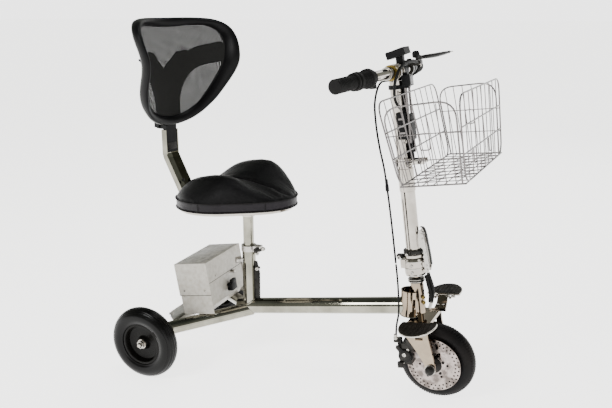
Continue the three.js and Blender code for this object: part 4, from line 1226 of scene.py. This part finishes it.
def seat_seams(outline):
    """Piping along the top seam and the lower edge, and upright seams on the skirt."""
    bm = bmesh.new()
    for share, height, radius in ((1.0, SEAM_HEIGHT, 1.7), (0.992, 3.0, 2.1)):
        run = [(shrunk(u, share), v * share, seat_floor(shrunk(u, share)) + height) for u, v in outline]
        add_wire(bm, SEAT, run, radius, 8, closed=True)
    for index in SKIRT_SEAMS:
        u, v = outline[index]
        a = shrunk(u, 0.992)
        add_wire(bm, SEAT, [(a, v * 0.992, seat_floor(a) + height) for height in (5, 12, 19, 26)], 1.2, 8)
    piece("seat_piping", bm, "seat", THREAD, smooth=80)


def seat_pan():
    dress("seat_pan", CHROME, 0.6)
    bm = bmesh.new()
    for u, v in ((-60, -70), (-60, 70), (60, -30), (60, 30)):
        add_socket_bolt(bm, SEAT, (u, v, seat_floor(u) - 9.2), (0, 0, -1), 5, 4)
    strap = [(-104, -16), (-54, -26), (60, -24), (60, 24), (-54, 26), (-104, 16)]
    add_prism(bm, SEAT, strap, 444, 447.6, 0.8)
    piece("seat_pan_hardware", bm, "seat", STEEL)


# ---- backrest

BACK_U, BACK_LEAN = -296, 0.03
BACK_CENTRE_Z = 815

# Height and half width of the ring's outline, from the bottom up.
BACK_HALF = (
    (652, 0), (660, 52), (679, 92), (704, 120), (731, 140), (770, 158), (812, 169), (860, 176), (898, 180),
    (924, 175), (942, 160), (953, 134), (957, 85), (957, 0),
)


def back_surface(v, z):
    wrap = 0.0024 + 0.0013 * math.exp(-(((z - 835) / 70) ** 2))
    return BACK_U + wrap * v**2 - BACK_LEAN * (z - 660)


def back_outline(per_span):
    return smooth_outline([(v, z) for z, v in mirrored(BACK_HALF)], per_span)


def inset(v, z, distance):
    away = Vector((v, z - BACK_CENTRE_Z))
    length = away.length
    away = away * ((length - distance) / length)
    return away.x, BACK_CENTRE_Z + away.y


def on_back(v, z, behind=0.0):
    return Vector((back_surface(v, z) - behind, v, z))


def backrest():
    back_frame()
    back_net_panel()
    back_spine()
    back_arm()


def wing(v):
    """0 in the middle of the backrest and 1 at its two sides."""
    return smoothstep((abs(v) - 100) / 60)


def back_frame():
    """The ring: a rounded D section that is widest at its outer edge."""
    section = (
        (0, -3), (0, 3), (2, 8), (7, 11.5), (14, 12), (21, 9), (26, 4), (27, 0), (26, -4), (20, -7),
        (10, -8), (2, -6.5),
    )
    rings = []
    for v, z in back_outline(8):
        ring = []
        for depth, lift in section:
            a, b = inset(v, z, depth)
            ring.append(SEAT @ on_back(a, b, -lift * (1 + 0.9 * wing(v))))
        rings.append(ring)
    bm = bmesh.new()
    add_rings(bm, rings, closed_chain=True)
    piece("back_ring", bm, "backrest", GLOSS, ["back_frame"], 70)


def back_net_panel():
    """The net stretched inside the ring, with its own flat coordinates for the knit."""
    outline = back_outline(4)
    bm = bmesh.new()
    panel = bm.loops.layers.uv.new("panel")
    shares = [i / 14 for i in range(15)]
    rows = []
    places = {}
    for share in shares:
        row = []
        for v, z in outline:
            a, b = inset(v, z, 26)
            a, b = a * share, BACK_CENTRE_Z + (b - BACK_CENTRE_Z) * share
            vertex = bm.verts.new(SEAT @ on_back(a, b, -1.5))
            places[vertex] = (a, b)
            row.append(vertex)
            if share == 0:
                break
        rows.append(row)
    count = len(outline)
    for here, there in zip(rows, rows[1:]):
        for j in range(count):
            k = (j + 1) % count
            if len(here) == 1:
                bm.faces.new((here[0], there[j], there[k]))
            else:
                bm.faces.new((here[j], there[j], there[k], here[k]))
    for face in bm.faces:
        for loop in face.loops:
            v, z = places[loop.vert]
            loop[panel].uv = (v * MM, z * MM)
    net = piece("back_net_panel", bm, "backrest", NET, ["back_mesh"], 180)


# Height and half width of the moulded support's outline, from the bottom to the notch.
SPINE_HALF = (
    (662, 0), (662, 42), (694, 44), (728, 45), (752, 52), (775, 62), (799, 77), (816, 98), (826, 127),
    (829, 150), (831, 154), (888, 154), (887, 148), (883, 133), (878, 113), (870, 92), (863, 80), (865, 66),
    (861, 44), (838, 24), (811, 0),
)


def back_spine():
    """A moulded Y with ribs and openings, following the ring's curve."""
    whole = [(v, z) for z, v in mirrored(SPINE_HALF)]
    bm = bmesh.new()
    face = bm.faces.new([bm.verts.new((v, z, 0)) for v, z in whole])
    face.normal_update()
    bmesh.ops.triangulate(bm, faces=[face])
    for _ in range(4):
        long_edges = [e for e in bm.edges if e.calc_length() > 12]
        if not long_edges:
            break
        bmesh.ops.subdivide_edges(bm, edges=long_edges, cuts=1)
        bmesh.ops.triangulate(bm, faces=bm.faces[:])
    flat = [v.co.copy() for v in bm.verts]
    for vertex, (v, z, _) in zip(bm.verts, flat):
        crown = 3.0 * math.exp(-((v / 26) ** 2))
        vertex.co = SEAT @ on_back(v, z, 11.5 + crown - 6 * wing(v))
    made = bmesh.ops.extrude_face_region(bm, geom=bm.faces[:])
    inverse = SEAT.inverted()
    for vertex in (e for e in made["geom"] if isinstance(e, bmesh.types.BMVert)):
        here = inverse @ vertex.co
        vertex.co = SEAT @ (here - Vector((9.5 - 5.5 * wing(here.y), 0, 0)))
    bmesh.ops.recalc_face_normals(bm, faces=bm.faces)
    sharp = [e for e in bm.edges if len(e.link_faces) == 2 and e.calc_face_angle(0) > 0.9]
    bmesh.ops.bevel(bm, geom=sharp, offset=0.0022, segments=3, affect="EDGES", profile=0.6)
    spine = piece("back_support", bm, "backrest", PLASTIC, ["back_spine"], 40)
    cutter = bmesh.new()
    for side in (-1, 1):
        slot = [(side * v, z) for v, z in ((34, 802), (38, 800), (49, 815), (60, 832), (57, 836), (46, 820))]
        low = [SEAT @ Vector((-380, v, z)) for v, z in slot]
        high = [SEAT @ Vector((-200, v, z)) for v, z in slot]
        add_rings(cutter, [low, high])
    cut_away(spine, cutter)
    smooth_by_angle(spine.data, 40)
    bm = bmesh.new()
    rib = ((24, 672), (25, 720), (34, 762), (66, 806), (112, 838), (140, 848))
    for side in (-1, 1):
        run = curve_points([(side * v, z, 0) for v, z in rib])
        add_wire(bm, SEAT, [on_back(p.x, p.y, 23) for p in run], 3.0, 10)
    piece("back_support_ribs", bm, "backrest", PLASTIC, smooth=60)


def back_arm():
    dress("back_arm", TUBE_CHROME, 1.0)
    dress("back_bracket", PLASTIC, 2.5)
    bolts = [((-346, 0, 668), (-1, 0, 0), 7, 4)] + [((-346, v, 652), (-1, 0, 0), 3.6, 3) for v in (-16, 16)]
    socket_bolts("bracket_bolts", "backrest", STEEL, SEAT, bolts)
    bm = bmesh.new()
    for u, z in ((-228, 447), (-262, 487)):
        add_bolt(bm, SEAT, (u + 2, 0, z + 3), (0.75, 0, 0.66), 6, 4)
    add_block(bm, SEAT @ moved(-304, 0, 590), (6, 34, 22), (2, 0, 0), 2)
    piece("arm_bolts", bm, "seat", BLACK)


# ---- stage


def studio():
    scene = bpy.context.scene
    floor = bmesh.new()
    bmesh.ops.create_grid(floor, x_segments=1, y_segments=1, size=60)
    mesh = bpy.data.meshes.new("floor")
    floor.to_mesh(mesh)
    floor.free()
    ground = bpy.data.objects.new("floor", mesh)
    scene.collection.objects.link(ground)
    glow = {"Emission_Color": (1, 0.995, 0.985, 1), "Emission_Strength": FLOOR_GLOW}
    paint = Shader("floor_paint", (0.86, 0.85, 0.84), 0.9, **glow)
    mesh.materials.append(paint.material)
    surroundings(scene)
    softboxes(scene)


def surroundings(scene):
    """A pale band round the horizon under a darker room."""
    world = bpy.data.worlds.new("studio")
    scene.world = world
    world.use_nodes = True
    nodes, links = world.node_tree.nodes, world.node_tree.links
    coordinates = nodes.new("ShaderNodeTexCoord")
    split = nodes.new("ShaderNodeSeparateXYZ")
    links.new(coordinates.outputs["Generated"], split.inputs["Vector"])
    ramp = nodes.new("ShaderNodeValToRGB")
    links.new(split.outputs["Z"], ramp.inputs["Fac"])
    stops = (
        (0.0, (1, 0.995, 0.99)), (0.06, (1, 0.99, 0.98)), (0.16, (0.16, 0.165, 0.15)),
        (1.0, (0.02, 0.025, 0.022)),
    )
    ramp.color_ramp.elements.remove(ramp.color_ramp.elements[0])
    for position, colour in stops[:-1]:
        ramp.color_ramp.elements.new(position).color = (*colour, 1)
    ramp.color_ramp.elements[-1].color = (*stops[-1][1], 1)
    links.new(ramp.outputs["Color"], nodes["Background"].inputs["Color"])
    nodes["Background"].inputs["Strength"].default_value = HORIZON


def softboxes(scene):
    lights = (
        ("key", (-1.2, -2.8, 2.6), 85, 1.1),
        ("fill", (2.9, -1.2, 1.7), 16, 1.4),
        ("rim", (0.4, 3.0, 2.4), 25, 2.0),
        ("top", (0.1, 0.1, 3.0), 24, 1.2),
    )
    target = Vector((0, 0, 0.45))
    for name, place, power, size in lights:
        light = bpy.data.lights.new(name, "AREA")
        light.energy = power
        light.size = size
        lamp = bpy.data.objects.new(name, light)
        lamp.location = place
        lamp.rotation_euler = (target - Vector(place)).to_track_quat("-Z", "Y").to_euler()
        scene.collection.objects.link(lamp)


IMAGE_WIDTH = 612
FOCAL_LENGTH = 716.1             # in the same unit as IMAGE_WIDTH


def camera():
    """Looks down a little, from ahead of the scooter's right side."""
    lens = bpy.data.cameras.new("camera")
    lens.sensor_width = 36
    lens.lens = lens.sensor_width * FOCAL_LENGTH / IMAGE_WIDTH
    eye = bpy.data.objects.new("camera", lens)
    bpy.context.scene.collection.objects.link(eye)
    yaw, pitch, roll = (math.radians(a) for a in (23.36, 15.24, -0.16))
    eye.location = WORLD @ Vector((1118.5, -1688.7, 979.5))
    level = Matrix.Rotation(yaw, 4, "Z") @ Matrix.Rotation(math.pi / 2 - pitch, 4, "X")
    eye.rotation_euler = (level @ Matrix.Rotation(roll, 4, "Z")).to_euler()
    bpy.context.scene.camera = eye


frame_tubes()
frame_welds()
post_fittings()
battery_box()
for wheel_side, wheel_sign in SIDES:
    rear_wheel(wheel_side, wheel_sign)
front_wheel()
fork()
stem()
handlebar()
cables()
basket()
seat()
backrest()
studio()
camera()
